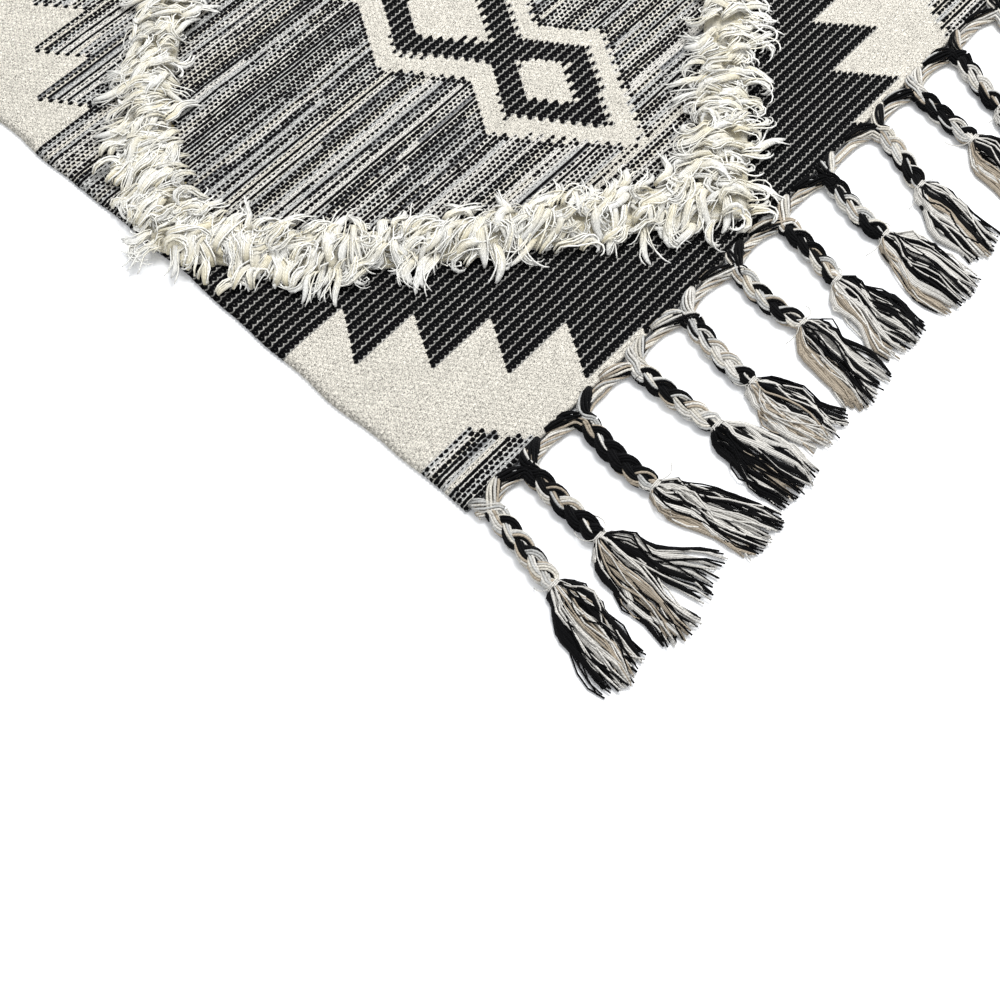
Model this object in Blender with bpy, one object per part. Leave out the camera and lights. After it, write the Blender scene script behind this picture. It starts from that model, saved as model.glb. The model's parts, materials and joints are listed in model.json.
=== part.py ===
"""Flat-woven wool rug: two raised pile diamonds, knotted headings and braided tassels.

The rug lies flat on the plane z = 0 with its woven length along Y. Its origin is the middle of its
footprint, on that plane. Places across the rug are counted in beads of the weave, and places along it
in pairs of weft rows, both from the corner at low X and low Y. Lengths are in metres.
"""

import math
from typing import NamedTuple

import bmesh
import bpy
import numpy as np


class Ripple(NamedTuple):
    """A sine unevenness: its size, its turning rate over what it runs along, and its start angle."""

    size: float
    rate: float
    start: float


class Finish(NamedTuple):
    """Plain colour and roughness of a kind of piece."""

    name: str
    colour: tuple
    roughness: float


class TasselRow(NamedTuple):
    """One tassel: places across the rug in beads, reaches beyond the woven edge in row pairs."""

    head: float
    middle: float
    tie: float
    tail: float
    fan: float
    tie_reach: float
    tail_reach: float


class PileSide(NamedTuple):
    """One side of a diamond: its name, its signs from the diamond's centre, its lumps' phase."""

    name: str
    side_x: int
    side_y: int
    phase: float


# Woven field
RUG_WIDTH = 0.600
BEADS_ACROSS = 135
BEAD_PITCH = RUG_WIDTH / BEADS_ACROSS
BEAD_TO_ROW = 0.64
ROW_PITCH = BEAD_PITCH / BEAD_TO_ROW
ROWS_ALONG = 180
RUG_LENGTH = ROWS_ALONG * ROW_PITCH
WOVEN_EDGE = -RUG_LENGTH / 2
FIELD_THICKNESS = 0.005
FIELD_EDGE_ROUND = 0.0015
SELVEDGE_POINTS = 36
SELVEDGE_RIPPLES = (Ripple(size=0.0022, rate=9.0, start=0.6), Ripple(size=0.0009, rate=23.0, start=0.0))
CORNER_FADE = 8
GAP = 0.0003

# Raised pile: half sizes of a diamond to the middle of its band, and the band's own section
DIAMOND_CENTRE_ROW = ROWS_ALONG / 4
DIAMOND_HALF_WIDTH = 62 * BEAD_PITCH
DIAMOND_HALF_LENGTH = 40 * ROW_PITCH
DIAMOND_BOW = 8.8 * BEAD_PITCH
BOW_SKEW = 1.35
BAND_HALF_WIDTH = 0.0300
BAND_HALF_LENGTH = 0.0315
PILE_BASE = FIELD_THICKNESS + GAP
PILE_HEIGHT = 0.0124
PILE_RIM_HEIGHT = 0.0032
PILE_RIM_PLACE = 0.92
PILE_SHOULDER_PLACE = 0.66
PILE_SHOULDER_SHARE = 0.78
PILE_LUMPS = (Ripple(size=0.17, rate=2.3, start=0.0), Ripple(size=0.09, rate=5.1, start=0.8))
PILE_TILT = (Ripple(size=0.16, rate=1.9, start=0.0),)
PILE_SIDES = (
    PileSide(name="low_left", side_x=-1, side_y=-1, phase=0.0),
    PileSide(name="low_right", side_x=1, side_y=-1, phase=1.7),
    PileSide(name="high_left", side_x=-1, side_y=1, phase=3.4),
    PileSide(name="high_right", side_x=1, side_y=1, phase=5.1),
)

# Locks at the rim of a pile side: places and leans are shares of the side's length
RIM_LOCKS = 6
RIM_LOCK_HALF_BASE = 0.026
RIM_LOCK_LEAN = 0.016
RIM_LOCK_PLACE = 1.37
RIM_LOCK_HEIGHT = 0.0022
RIM_LOCK_REACH = (Ripple(size=0.08, rate=3.7, start=0.0),)

# Knotted heading: depths beyond the woven edge between the tassels and at them
ARCH_DEPTH = 0.0085
HEAD_DEPTH = 0.0170
HEAD_HALF_WIDTH = 0.0120
HEAD_SHOULDERS = (-1.25, -0.75, -0.35, 0.35, 0.75, 1.25)
HEADING_HEIGHT = 0.0068
HEADING_END_CLEAR = 0.002
HEADING_KNOTS = (Ripple(size=0.10, rate=2.6, start=0.0),)
HEADING_SECTION = ((0.0, 0.0), (0.0, 0.66), (0.32, 1.0), (0.78, 0.80), (1.0, 0.34), (1.0, 0.0))

# Tassel heads: braid, tied neck and the flare below it, in octagonal sections
OCTAGON_TURNS = np.pi / 8 + np.arange(8) * np.pi / 4
OCTAGON_X = np.cos(OCTAGON_TURNS) / math.cos(math.pi / 8)
OCTAGON_Z = np.sin(OCTAGON_TURNS) / math.cos(math.pi / 8)
BRAID_HALF_WIDTH = 0.0082
BRAID_HEIGHT = 0.0100
BRAID_CROSSINGS = 7
BRAID_END_SHARE = 0.8
BRAID_SWAY = 0.16
BRAID_CREST = 0.08
NECK_HALF_WIDTH = 0.0052
NECK_HEIGHT = 0.0078
TIE_LENGTH = 0.0035
FLARE_LENGTH = 0.0130
FLARE_HALF_WIDTH = 0.0105
FLARE_HEIGHT = 0.0100
FLARE_LEAN = 0.16

# Tails: each tail is cut into upright slices across the flare, and each slice is drawn out as a lock
TAIL_LOCKS = 8
OCTAGON_CORNER = math.tan(math.pi / 8)
HALF_SLICES = (OCTAGON_CORNER / 2, OCTAGON_CORNER, (1 + OCTAGON_CORNER) / 2, 1.0)
SLICES = tuple(-cut for cut in HALF_SLICES[::-1]) + (0.0,) + HALF_SLICES
ROOT_INSET = 0.0003
ON_PLANE = 1e-6
LOCK_SHARES = (0.25, 0.60, 1.0)
LOCK_ROOT_FILL = 0.88
LOCK_END_FILL = 0.72
LOCK_ROOT_HEIGHT = 0.0088
LOCK_END_HEIGHT = 0.0040
LOCK_CREST = 0.45
TAIL_UNEVEN = (Ripple(size=0.3, rate=2.4, start=0.0),)
TAIL_ROUNDING = 0.9

TASSELS = (
    TasselRow(head=2.3, middle=0.9, tie=-0.4, tail=-3.4, fan=4.2, tie_reach=11.0, tail_reach=22.3),
    TasselRow(head=10.6, middle=9.9, tie=9.5, tail=9.0, fan=6.4, tie_reach=10.9, tail_reach=23.3),
    TasselRow(head=22.2, middle=20.8, tie=20.9, tail=25.3, fan=4.2, tie_reach=11.3, tail_reach=23.0),
    TasselRow(head=34.4, middle=34.1, tie=34.6, tail=35.0, fan=4.8, tie_reach=11.5, tail_reach=22.2),
    TasselRow(head=46.3, middle=44.4, tie=43.7, tail=44.8, fan=4.4, tie_reach=11.0, tail_reach=21.0),
    TasselRow(head=58.3, middle=56.8, tie=57.0, tail=54.6, fan=4.8, tie_reach=10.5, tail_reach=21.0),
    TasselRow(head=70.1, middle=68.7, tie=66.9, tail=65.2, fan=5.2, tie_reach=9.9, tail_reach=20.2),
    TasselRow(head=81.8, middle=79.6, tie=78.7, tail=77.4, fan=5.6, tie_reach=10.2, tail_reach=21.0),
    TasselRow(head=95.2, middle=93.2, tie=90.3, tail=87.4, fan=3.9, tie_reach=9.2, tail_reach=19.6),
    TasselRow(head=105.9, middle=104.6, tie=103.8, tail=101.6, fan=5.4, tie_reach=9.8, tail_reach=21.0),
    TasselRow(head=117.0, middle=114.4, tie=112.2, tail=111.4, fan=3.9, tie_reach=9.4, tail_reach=20.6),
    TasselRow(head=129.6, middle=127.4, tie=125.8, tail=123.8, fan=5.2, tie_reach=9.8, tail_reach=21.2),
)

WOVEN = Finish("woven_wool", (0.30, 0.29, 0.27, 1.0), 0.92)
PILE = Finish("cream_pile", (0.74, 0.68, 0.54, 1.0), 0.95)
KNOTTED = Finish("knotted_warp", (0.34, 0.32, 0.29, 1.0), 0.92)
BRAIDED = Finish("braided_warp", (0.22, 0.21, 0.20, 1.0), 0.92)
SHARP_ANGLE = math.radians(50)


def clear_scene():
    """Remove whatever the scene holds."""
    for thing in list(bpy.data.objects):
        bpy.data.objects.remove(thing, do_unlink=True)


def across(bead):
    """X of a place counted in beads."""
    return bead * BEAD_PITCH - RUG_WIDTH / 2


def beyond(rows):
    """Y of a place counted in row pairs outwards from the woven edge."""
    return WOVEN_EDGE - rows * ROW_PITCH


def unevenness(ripples, place, phase=0.0):
    """Sum of some ripples at a place."""
    return sum(ripple.size * np.sin(ripple.rate * place + ripple.start + phase) for ripple in ripples)


def mixed(first, last, share):
    """Value at a share of the way from one value to another."""
    return first + (last - first) * share


def through_three(first, second, third, share):
    """Value at a share of the way along a parabola through three evenly spaced values."""
    start = first * (1 - share) * (1 - 2 * share)
    middle = second * 4 * share * (1 - share)
    end = third * share * (2 * share - 1)
    return start + middle + end


def material_of(finish):
    """A Principled material for a finish, made once."""
    found = bpy.data.materials.get(finish.name)
    if found:
        return found
    made = bpy.data.materials.new(finish.name)
    made.use_nodes = True
    made.diffuse_color = finish.colour
    shader = made.node_tree.nodes["Principled BSDF"]
    shader.inputs["Base Color"].default_value = finish.colour
    shader.inputs["Roughness"].default_value = finish.roughness
    shader.inputs["Metallic"].default_value = 0.0
    return made


def place_mesh(name, shape, finish):
    """Turn a bmesh into a named object with its finish."""
    mesh = bpy.data.meshes.new(name)
    shape.to_mesh(mesh)
    shape.free()
    mesh.materials.append(material_of(finish))
    mesh.shade_smooth()
    mesh.set_sharp_from_angle(angle=SHARP_ANGLE)
    piece = bpy.data.objects.new(name, mesh)
    bpy.context.scene.collection.objects.link(piece)
    return piece


def join_rings(shape, low, high):
    """Add the quads between two rings of the same number of points."""
    for side, point in enumerate(low):
        after = (side + 1) % len(low)
        shape.faces.new((point, low[after], high[after], high[side]))


def add_loft(shape, rings):
    """Add a skin of quads through rings of points, each ring closed on itself."""
    grid = [[shape.verts.new(point) for point in ring] for ring in rings]
    for low, high in zip(grid, grid[1:]):
        join_rings(shape, low, high)
    return grid


def capped_loft(rings):
    """A closed body through rings of points."""
    shape = bmesh.new()
    grid = add_loft(shape, rings)
    shape.faces.new(grid[0])
    shape.faces.new(grid[-1])
    bmesh.ops.recalc_face_normals(shape, faces=shape.faces)
    return shape


def build_field():
    """Woven field: a slab with gently waving selvedges, square corners and a rounded upper edge."""
    y = np.linspace(WOVEN_EDGE, -WOVEN_EDGE, SELVEDGE_POINTS)
    wave = unevenness(SELVEDGE_RIPPLES, y) * (1 - (y / WOVEN_EDGE) ** CORNER_FADE)
    left = np.column_stack((-RUG_WIDTH / 2 - wave, y))
    outline = np.vstack((left[::-1], -left[::-1]))
    shape = bmesh.new()
    base = shape.faces.new([shape.verts.new((x, y, 0.0)) for x, y in outline])
    raised = bmesh.ops.extrude_face_region(shape, geom=[base])["geom"]
    top = {item for item in raised if isinstance(item, bmesh.types.BMVert)}
    bmesh.ops.translate(shape, verts=list(top), vec=(0.0, 0.0, FIELD_THICKNESS))
    rim = [edge for edge in shape.edges if top.issuperset(edge.verts)]
    bmesh.ops.bevel(shape, geom=rim, offset=FIELD_EDGE_ROUND, segments=1, affect="EDGES")
    bmesh.ops.recalc_face_normals(shape, faces=shape.faces)
    return place_mesh("woven_field", shape, WOVEN)


def pile_stations():
    """Shares of the way along a pile side, each with 1 where a rim lock has its tip and 0 elsewhere."""
    tips = (np.arange(RIM_LOCKS) + 0.6) / (RIM_LOCKS + 0.2)
    between = (tips[1:] + tips[:-1]) / 2
    feet = [tip + side * RIM_LOCK_HALF_BASE for tip in tips for side in (-1, 1)]
    plain = [0.0, *feet, *between, 1.0]
    return sorted([(share, 0) for share in plain] + [(share, 1) for share in tips])


def pile_section(index, share, lock, phase):
    """Section of a pile side: each point's place across the band, from -1 inside to 1 outside, and height."""
    rim = PILE_RIM_PLACE
    rim_height = PILE_RIM_HEIGHT
    if lock:
        rim = RIM_LOCK_PLACE + unevenness(RIM_LOCK_REACH, index, phase)
        rim_height = RIM_LOCK_HEIGHT
    mitred = share in (0.0, 1.0)
    crown = PILE_HEIGHT * (1 + (0.0 if mitred else unevenness(PILE_LUMPS, index, phase)))
    tilt = unevenness(PILE_TILT, index, phase)
    return (
        (-rim, 0.0),
        (-rim, rim_height),
        (-PILE_SHOULDER_PLACE, crown * (PILE_SHOULDER_SHARE - tilt)),
        (0.0, crown),
        (PILE_SHOULDER_PLACE, crown * (PILE_SHOULDER_SHARE + tilt)),
        (rim, rim_height),
        (rim, 0.0),
    )


def side_bow(share):
    """How far a diamond's side bows outwards along X at a share of its length, most towards the selvedge."""
    return DIAMOND_BOW * math.sin(math.pi * share**BOW_SKEW)


def build_pile(name, side):
    """One side of a diamond's pile band, a lumpy slab with pointed locks at its rim.

    Every point is a mix of two mitred ends: one lies in the plane x = 0, at the diamond's point on the
    rug's middle line, and one in the plane through the diamond's centre, at its point by the selvedge.
    In between, the side bows outwards.
    """
    centre = beyond(-DIAMOND_CENTRE_ROW)
    start = np.array((side.side_x * GAP / 2, centre + side.side_y * DIAMOND_HALF_LENGTH))
    end = np.array((side.side_x * DIAMOND_HALF_WIDTH, centre + side.side_y * GAP / 2))
    start_across = np.array((0.0, side.side_y * BAND_HALF_LENGTH))
    end_across = np.array((side.side_x * BAND_HALF_WIDTH, 0.0))
    rings = []
    for index, (station, lock) in enumerate(pile_stations()):
        ring = []
        for place, height in pile_section(index, station, lock, side.phase):
            lean = RIM_LOCK_LEAN * np.sign(place * side.side_x) if abs(place) > 1 else 0.0
            share = station + lean
            x, y = mixed(start + place * start_across, end + place * end_across, share)
            ring.append((x + side.side_x * side_bow(share), y, PILE_BASE + height))
        rings.append(ring)
    return place_mesh(name, capped_loft(rings), PILE)


def build_heading(name):
    """Knotted heading along the woven edge: a low round cord that swells where each tassel leaves it."""
    heads = np.array([across(row.head) for row in TASSELS])
    ends = (-RUG_WIDTH / 2, RUG_WIDTH / 2)
    swells = [head + shoulder * HEAD_HALF_WIDTH for head in heads for shoulder in HEAD_SHOULDERS]
    inside = [x for x in swells if abs(x) < RUG_WIDTH / 2 - HEADING_END_CLEAR]
    rings = []
    for index, x in enumerate(sorted([*inside, *ends])):
        nearest = np.abs(heads - x).min()
        swell = math.exp(-((nearest / HEAD_HALF_WIDTH) ** 4))
        depth = mixed(ARCH_DEPTH, HEAD_DEPTH, swell)
        height = HEADING_HEIGHT * (1 + unevenness(HEADING_KNOTS, index))
        rings.append([(x, WOVEN_EDGE - GAP - out * depth, up * height) for out, up in HEADING_SECTION])
    return place_mesh(name, capped_loft(rings), KNOTTED)


def octagon(x, y, half_width, height, sway=0.0):
    """Upright octagonal section standing on the floor, swollen to one side by its sway."""
    to_side = sway * np.sign(OCTAGON_X)
    xs = x + half_width * OCTAGON_X * (1 + BRAID_SWAY * to_side)
    zs = height / 2 * (1 + OCTAGON_Z) * (1 + BRAID_CREST * to_side * (OCTAGON_Z > 0))
    return np.column_stack((xs, np.full(len(xs), y), zs))


def flare_place(row):
    """X and Y of the last section of a tassel's head, where the tail has opened and its locks part."""
    lean = FLARE_LEAN * (across(row.tail) - across(row.tie))
    return across(row.tie) + lean, beyond(row.tie_reach) - FLARE_LENGTH


def head_rings(row):
    """Sections of a tassel's head: the braid, swelling left and right in turn, the neck and the flare."""
    start = WOVEN_EDGE - HEAD_DEPTH - 2 * GAP
    tie_y = beyond(row.tie_reach)
    rings = []
    for crossing in range(BRAID_CROSSINGS + 1):
        share = crossing / (BRAID_CROSSINGS + BRAID_END_SHARE)
        x = across(through_three(row.head, row.middle, row.tie, share))
        rings.append(octagon(x, mixed(start, tie_y, share), BRAID_HALF_WIDTH, BRAID_HEIGHT, (-1) ** crossing))
    for y in (tie_y, tie_y - TIE_LENGTH):
        rings.append(octagon(across(row.tie), y, NECK_HALF_WIDTH, NECK_HEIGHT))
    rings.append(octagon(*flare_place(row), FLARE_HALF_WIDTH, FLARE_HEIGHT))
    return rings


def lock_corners(row, number, share):
    """Four corners of a tail lock at a share of its length, from its base's high-X corner, over the crest."""
    flare_x, flare_y = flare_place(row)
    low, high = SLICES[number], SLICES[number + 1]
    place = (2 * number + 1) / TAIL_LOCKS - 1
    fan = row.fan * BEAD_PITCH
    x = mixed(flare_x + FLARE_HALF_WIDTH * (low + high) / 2, across(row.tail) + place * fan, share)
    room = mixed(FLARE_HALF_WIDTH * (high - low) / 2, fan / TAIL_LOCKS, share)
    half = room * mixed(LOCK_ROOT_FILL, LOCK_END_FILL, share)
    at_end = share == LOCK_SHARES[-1]
    short = unevenness(TAIL_UNEVEN, number, row.head) + TAIL_ROUNDING * place**2 if at_end else 0.0
    y = mixed(flare_y, beyond(row.tail_reach - short), share)
    height = mixed(LOCK_ROOT_HEIGHT, LOCK_END_HEIGHT, share)
    crest = LOCK_CREST * half
    return ((x + half, y, 0.0), (x + crest, y, height), (x - crest, y, height), (x - half, y, 0.0))


def faces_on(shape, y):
    """Faces that lie wholly in the upright plane at a given Y."""
    return [face for face in shape.faces if all(abs(vert.co.y - y) < ON_PLANE for vert in face.verts)]


def slice_cap(shape, cap, row):
    """Close the flare with a face, cut it into upright slices, and inset each slice by a little."""
    flare_x, flare_y = flare_place(row)
    shape.faces.new(cap)
    shape.normal_update()
    for cut in SLICES[1:-1]:
        faces = faces_on(shape, flare_y)
        edges = {edge for face in faces for edge in face.edges}
        verts = {vert for face in faces for vert in face.verts}
        middle = (flare_x + cut * FLARE_HALF_WIDTH, flare_y, 0.0)
        geom = [*faces, *edges, *verts]
        bmesh.ops.bisect_plane(shape, geom=geom, dist=ON_PLANE, plane_co=middle, plane_no=(1.0, 0.0, 0.0))
    slices = sorted(faces_on(shape, flare_y), key=lambda face: face.calc_center_median().x)
    bmesh.ops.inset_individual(shape, faces=slices, thickness=ROOT_INSET, use_even_offset=True)
    return slices


def root_ring(face):
    """Corners of an upright slice in the order of a lock's corners, by their angle round its middle."""
    middle = face.calc_center_median()
    angles = {vert: math.atan2(vert.co.z - middle.z, vert.co.x - middle.x) for vert in face.verts}
    return sorted(face.verts, key=angles.get)[1:] + sorted(face.verts, key=angles.get)[:1]


def build_tassel(name, row):
    """One tassel: braid, tied neck and tail locks in one closed body."""
    shape = bmesh.new()
    grid = add_loft(shape, head_rings(row))
    shape.faces.new(grid[0][::-1])
    for number, face in enumerate(slice_cap(shape, grid[-1], row)):
        ring = root_ring(face)
        shape.faces.remove(face)
        for share in LOCK_SHARES:
            after = [shape.verts.new(corner) for corner in lock_corners(row, number, share)]
            join_rings(shape, ring, after)
            ring = after
        shape.faces.new(ring)
    return place_mesh(name, shape, BRAIDED)


def turn_half(piece, name):
    """A copy of a piece at the other end of the rug, half a turn about the rug's middle."""
    copy = bpy.data.objects.new(name, piece.data)
    copy.rotation_euler = (0.0, 0.0, math.pi)
    bpy.context.scene.collection.objects.link(copy)
    return copy


def build_rug():
    """Every piece of the rug."""
    clear_scene()
    build_field()
    for side in PILE_SIDES:
        turn_half(build_pile(f"pile_near_{side.name}", side), f"pile_far_{side.name}")
    turn_half(build_heading("heading_near"), "heading_far")
    for number, row in enumerate(TASSELS, start=1):
        turn_half(build_tassel(f"tassel_near_{number:02d}", row), f"tassel_far_{number:02d}")


build_rug()
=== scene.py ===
"""Looks of a flat-woven wool rug with two raised pile diamonds, knotted headings and braided tassels.

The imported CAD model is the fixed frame: the rug lies on the plane z = 0, its woven length runs along Y,
and every length is in metres. Places across the rug are counted in beads of the weave from the selvedge
at low X, and places along it in pairs of weft rows from the woven edge at low Y, as in the CAD source.
"""

import json
import logging
import math
from dataclasses import dataclass
from enum import Enum
from functools import partial

import bpy
import numpy as np
from mathutils import Quaternion, Vector
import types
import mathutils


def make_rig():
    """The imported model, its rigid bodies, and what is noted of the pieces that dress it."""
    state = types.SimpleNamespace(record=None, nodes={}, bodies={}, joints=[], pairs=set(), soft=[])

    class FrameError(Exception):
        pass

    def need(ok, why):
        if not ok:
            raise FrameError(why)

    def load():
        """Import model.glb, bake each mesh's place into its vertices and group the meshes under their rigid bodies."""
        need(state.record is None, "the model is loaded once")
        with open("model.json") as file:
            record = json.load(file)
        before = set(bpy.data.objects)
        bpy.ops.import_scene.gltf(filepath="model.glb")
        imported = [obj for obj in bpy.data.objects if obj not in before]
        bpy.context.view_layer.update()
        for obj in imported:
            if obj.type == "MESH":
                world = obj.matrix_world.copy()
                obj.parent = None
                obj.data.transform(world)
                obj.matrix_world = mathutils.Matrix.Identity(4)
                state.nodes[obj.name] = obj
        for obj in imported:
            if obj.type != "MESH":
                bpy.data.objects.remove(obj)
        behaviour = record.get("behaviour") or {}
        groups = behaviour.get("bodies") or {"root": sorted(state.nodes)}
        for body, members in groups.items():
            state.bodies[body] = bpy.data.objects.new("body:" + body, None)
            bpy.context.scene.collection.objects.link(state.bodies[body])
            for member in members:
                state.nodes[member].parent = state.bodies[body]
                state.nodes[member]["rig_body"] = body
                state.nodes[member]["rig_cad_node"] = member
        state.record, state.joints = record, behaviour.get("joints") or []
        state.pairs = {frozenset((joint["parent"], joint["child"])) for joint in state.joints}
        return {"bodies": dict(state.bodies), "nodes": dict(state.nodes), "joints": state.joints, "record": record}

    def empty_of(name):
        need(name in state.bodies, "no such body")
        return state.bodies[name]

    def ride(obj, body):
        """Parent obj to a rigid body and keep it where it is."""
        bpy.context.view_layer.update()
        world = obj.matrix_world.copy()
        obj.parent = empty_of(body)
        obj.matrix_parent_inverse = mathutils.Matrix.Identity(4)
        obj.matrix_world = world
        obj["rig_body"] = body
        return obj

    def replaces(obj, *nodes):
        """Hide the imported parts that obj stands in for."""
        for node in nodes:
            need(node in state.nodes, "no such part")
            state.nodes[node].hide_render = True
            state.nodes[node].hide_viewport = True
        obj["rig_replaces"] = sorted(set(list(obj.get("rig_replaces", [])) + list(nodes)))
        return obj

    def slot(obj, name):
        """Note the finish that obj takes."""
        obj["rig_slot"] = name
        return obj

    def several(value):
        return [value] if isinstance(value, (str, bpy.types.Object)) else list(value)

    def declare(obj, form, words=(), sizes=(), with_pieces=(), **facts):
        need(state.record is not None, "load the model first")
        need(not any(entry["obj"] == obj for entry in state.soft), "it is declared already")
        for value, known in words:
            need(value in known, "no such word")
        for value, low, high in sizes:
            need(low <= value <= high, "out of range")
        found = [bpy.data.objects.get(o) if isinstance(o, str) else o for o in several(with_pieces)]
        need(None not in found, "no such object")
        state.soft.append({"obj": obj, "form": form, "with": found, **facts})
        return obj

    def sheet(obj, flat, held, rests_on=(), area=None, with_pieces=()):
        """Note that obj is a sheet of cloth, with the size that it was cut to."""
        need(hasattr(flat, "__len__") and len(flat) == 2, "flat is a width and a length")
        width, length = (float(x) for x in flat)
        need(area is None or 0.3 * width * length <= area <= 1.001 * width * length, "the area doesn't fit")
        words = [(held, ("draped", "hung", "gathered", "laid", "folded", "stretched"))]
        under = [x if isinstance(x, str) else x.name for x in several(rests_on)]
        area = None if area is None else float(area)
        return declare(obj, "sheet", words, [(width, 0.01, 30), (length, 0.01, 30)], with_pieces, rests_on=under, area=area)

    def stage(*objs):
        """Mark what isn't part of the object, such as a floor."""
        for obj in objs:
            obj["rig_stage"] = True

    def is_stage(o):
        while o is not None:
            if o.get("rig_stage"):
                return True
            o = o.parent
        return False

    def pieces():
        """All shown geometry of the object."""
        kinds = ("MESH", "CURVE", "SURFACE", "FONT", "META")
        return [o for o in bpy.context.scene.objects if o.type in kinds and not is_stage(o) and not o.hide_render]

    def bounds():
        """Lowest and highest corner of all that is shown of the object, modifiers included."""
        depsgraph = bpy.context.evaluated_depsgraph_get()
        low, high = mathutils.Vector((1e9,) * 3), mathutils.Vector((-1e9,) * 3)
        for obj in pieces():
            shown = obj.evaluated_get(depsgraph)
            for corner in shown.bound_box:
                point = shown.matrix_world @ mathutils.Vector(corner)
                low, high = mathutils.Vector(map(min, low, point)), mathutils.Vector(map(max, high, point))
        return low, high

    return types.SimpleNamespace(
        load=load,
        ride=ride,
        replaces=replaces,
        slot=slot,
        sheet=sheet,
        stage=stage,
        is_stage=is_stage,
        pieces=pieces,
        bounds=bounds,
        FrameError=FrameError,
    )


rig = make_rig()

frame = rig.load()
CAD_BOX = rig.bounds()

Array = np.ndarray
Colour = tuple[float, float, float, float]
LOG = logging.getLogger("rug")

# The cloth's own measures, the same values as in the CAD source
WIDTH = 0.600
BEADS = 135
BEAD = WIDTH / BEADS
ROW_PAIR = BEAD / 0.64
ROW_PAIRS = 180
LENGTH = ROW_PAIRS * ROW_PAIR
WOVEN_EDGE = -LENGTH / 2
CLOTH_TOP = 0.005
GAP = 0.0003

# Names of the rug's ends, by whether it is the far one
ENDS = ("near", "far")

# A colour times this has an alpha of 0, which marks a lock of several yarns
ON_LOCK = np.array([1, 1, 1, 0])

# The pile diamonds' middle lines, in beads and row pairs
DIAMOND_ROW = 45.0
DIAMOND_HALF_BEADS = 62.0
DIAMOND_HALF_ROWS = 40.0
DIAMOND_BOW = 8.8
BOW_SKEW = 1.35


def across(bead: Array | float) -> Array | float:
    """X of a place counted in beads from the selvedge at low X."""
    return bead * BEAD - WIDTH / 2


def beyond(rows: Array | float) -> Array | float:
    """Y of a place counted in row pairs outwards from the woven edge at low Y."""
    return WOVEN_EDGE - rows * ROW_PAIR


def linear(code: str) -> Colour:
    """Turn an sRGB hex value into linear light.

    Args:
        code: Six hex digits, such as "e9e4d9".

    Returns:
        Linear red, green and blue from 0 to 1, and an alpha of 1.
    """
    levels = [int(code[i : i + 2], 16) / 255 for i in (0, 2, 4)]
    red, green, blue = (x / 12.92 if x <= 0.04045 else ((x + 0.055) / 1.055) ** 2.4 for x in levels)
    return red, green, blue, 1.0


def diamond_bow(share: Array) -> Array:
    """How far a diamond's side bows outwards, in beads: the bow times sin(pi share^skew)."""
    return DIAMOND_BOW * np.sin(np.pi * np.clip(share, 0, 1) ** BOW_SKEW)


def smooth(share: Array) -> Array:
    """Smooth step: 3s^2 - 2s^3 of a share held between 0 and 1."""
    held = np.clip(share, 0.0, 1.0)
    return held * held * (3 - 2 * held)


def unit(vectors: Array) -> Array:
    """Vectors divided by their lengths along the last axis."""
    return vectors / np.linalg.norm(vectors, axis=-1, keepdims=True)


def waves(at: Array, parts: tuple) -> Array:
    """Sum of sines of a place: each part gives a height, a rate in radians and a start."""
    return sum(height * np.sin(rate * at + start) for height, rate, start in parts)


def cells(grid: Array, axis: int = -1) -> Array:
    """The four corners of every cell of a grid in turn, put side by side on an axis."""
    return np.stack([grid[:-1, :-1], grid[:-1, 1:], grid[1:, 1:], grid[1:, :-1]], axis=axis)


def fill(tree: bpy.types.NodeTree, node: bpy.types.Node, sockets: tuple | list | dict) -> None:
    """Fill a node's inputs, in their order or by name, each with a plain value or another node's output."""
    for key, value in (sockets if isinstance(sockets, dict) else dict(enumerate(sockets))).items():
        if isinstance(value, bpy.types.NodeSocket):
            tree.links.new(value, node.inputs[key])
        else:
            node.inputs[key].default_value = value


def add_node(
    tree: bpy.types.NodeTree,
    kind: str,
    sockets: tuple | list | dict = (),
    out: int | str = 0,
    **settings: object,
) -> bpy.types.NodeSocket:
    """Add one shader node.

    Args:
        tree: The material's node tree.
        kind: Blender's name for the node type, without the ShaderNode before it.
        sockets: What goes into its inputs, in their order or by name.
        out: The output that is wanted, by number or name.
        settings: The node's own properties.

    Returns:
        That output of the new node.
    """
    node = tree.nodes.new(f"ShaderNode{kind}")
    for name, value in settings.items():
        setattr(node, name, value)
    fill(tree, node, sockets)
    return node.outputs[out]


def new_material(name: str) -> tuple[bpy.types.Material, bpy.types.NodeTree, bpy.types.Node]:
    """Make a material with nodes, and give it, its tree and its shader."""
    made = bpy.data.materials.new(name)
    made.use_nodes = True
    return made, made.node_tree, made.node_tree.nodes["Principled BSDF"]


def put(name: str, data: bpy.types.ID) -> bpy.types.Object:
    """Put a new object with this data into the scene."""
    made = bpy.data.objects.new(name, data)
    bpy.context.scene.collection.objects.link(made)
    return made


def paint(mesh: bpy.types.Mesh, name: str, colours: Array) -> None:
    """Store a colour for each point of a mesh, or for each face corner where there are that many."""
    domain = "POINT" if len(colours) == len(mesh.vertices) else "CORNER"
    layer = mesh.color_attributes.new(name=name, type="FLOAT_COLOR", domain=domain)
    layer.data.foreach_set("color", colours.astype(np.float32).ravel())


class Dye(Enum):
    """Colours of the rug's threads, as sRGB hex values."""

    BLACK = "0d0d0f"
    CREAM = "ebe6da"
    GREY_WHITE = "d3d3d0"
    SMOKE = "8e8f90"
    WARP_WHITE = "d5d3cd"
    WHITE = "eeebe4"
    NATURAL = "c2b5a2"
    PILE_TIP = "fffef8"
    # The pile's root colour is its cream wool with painted shade: darker and yellower, as deep in the pile
    PILE_ROOT = "efdfa8"

    @property
    def light(self) -> Array:
        """The dye's linear colour as an array of four numbers."""
        return np.array(linear(self.value))


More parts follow.
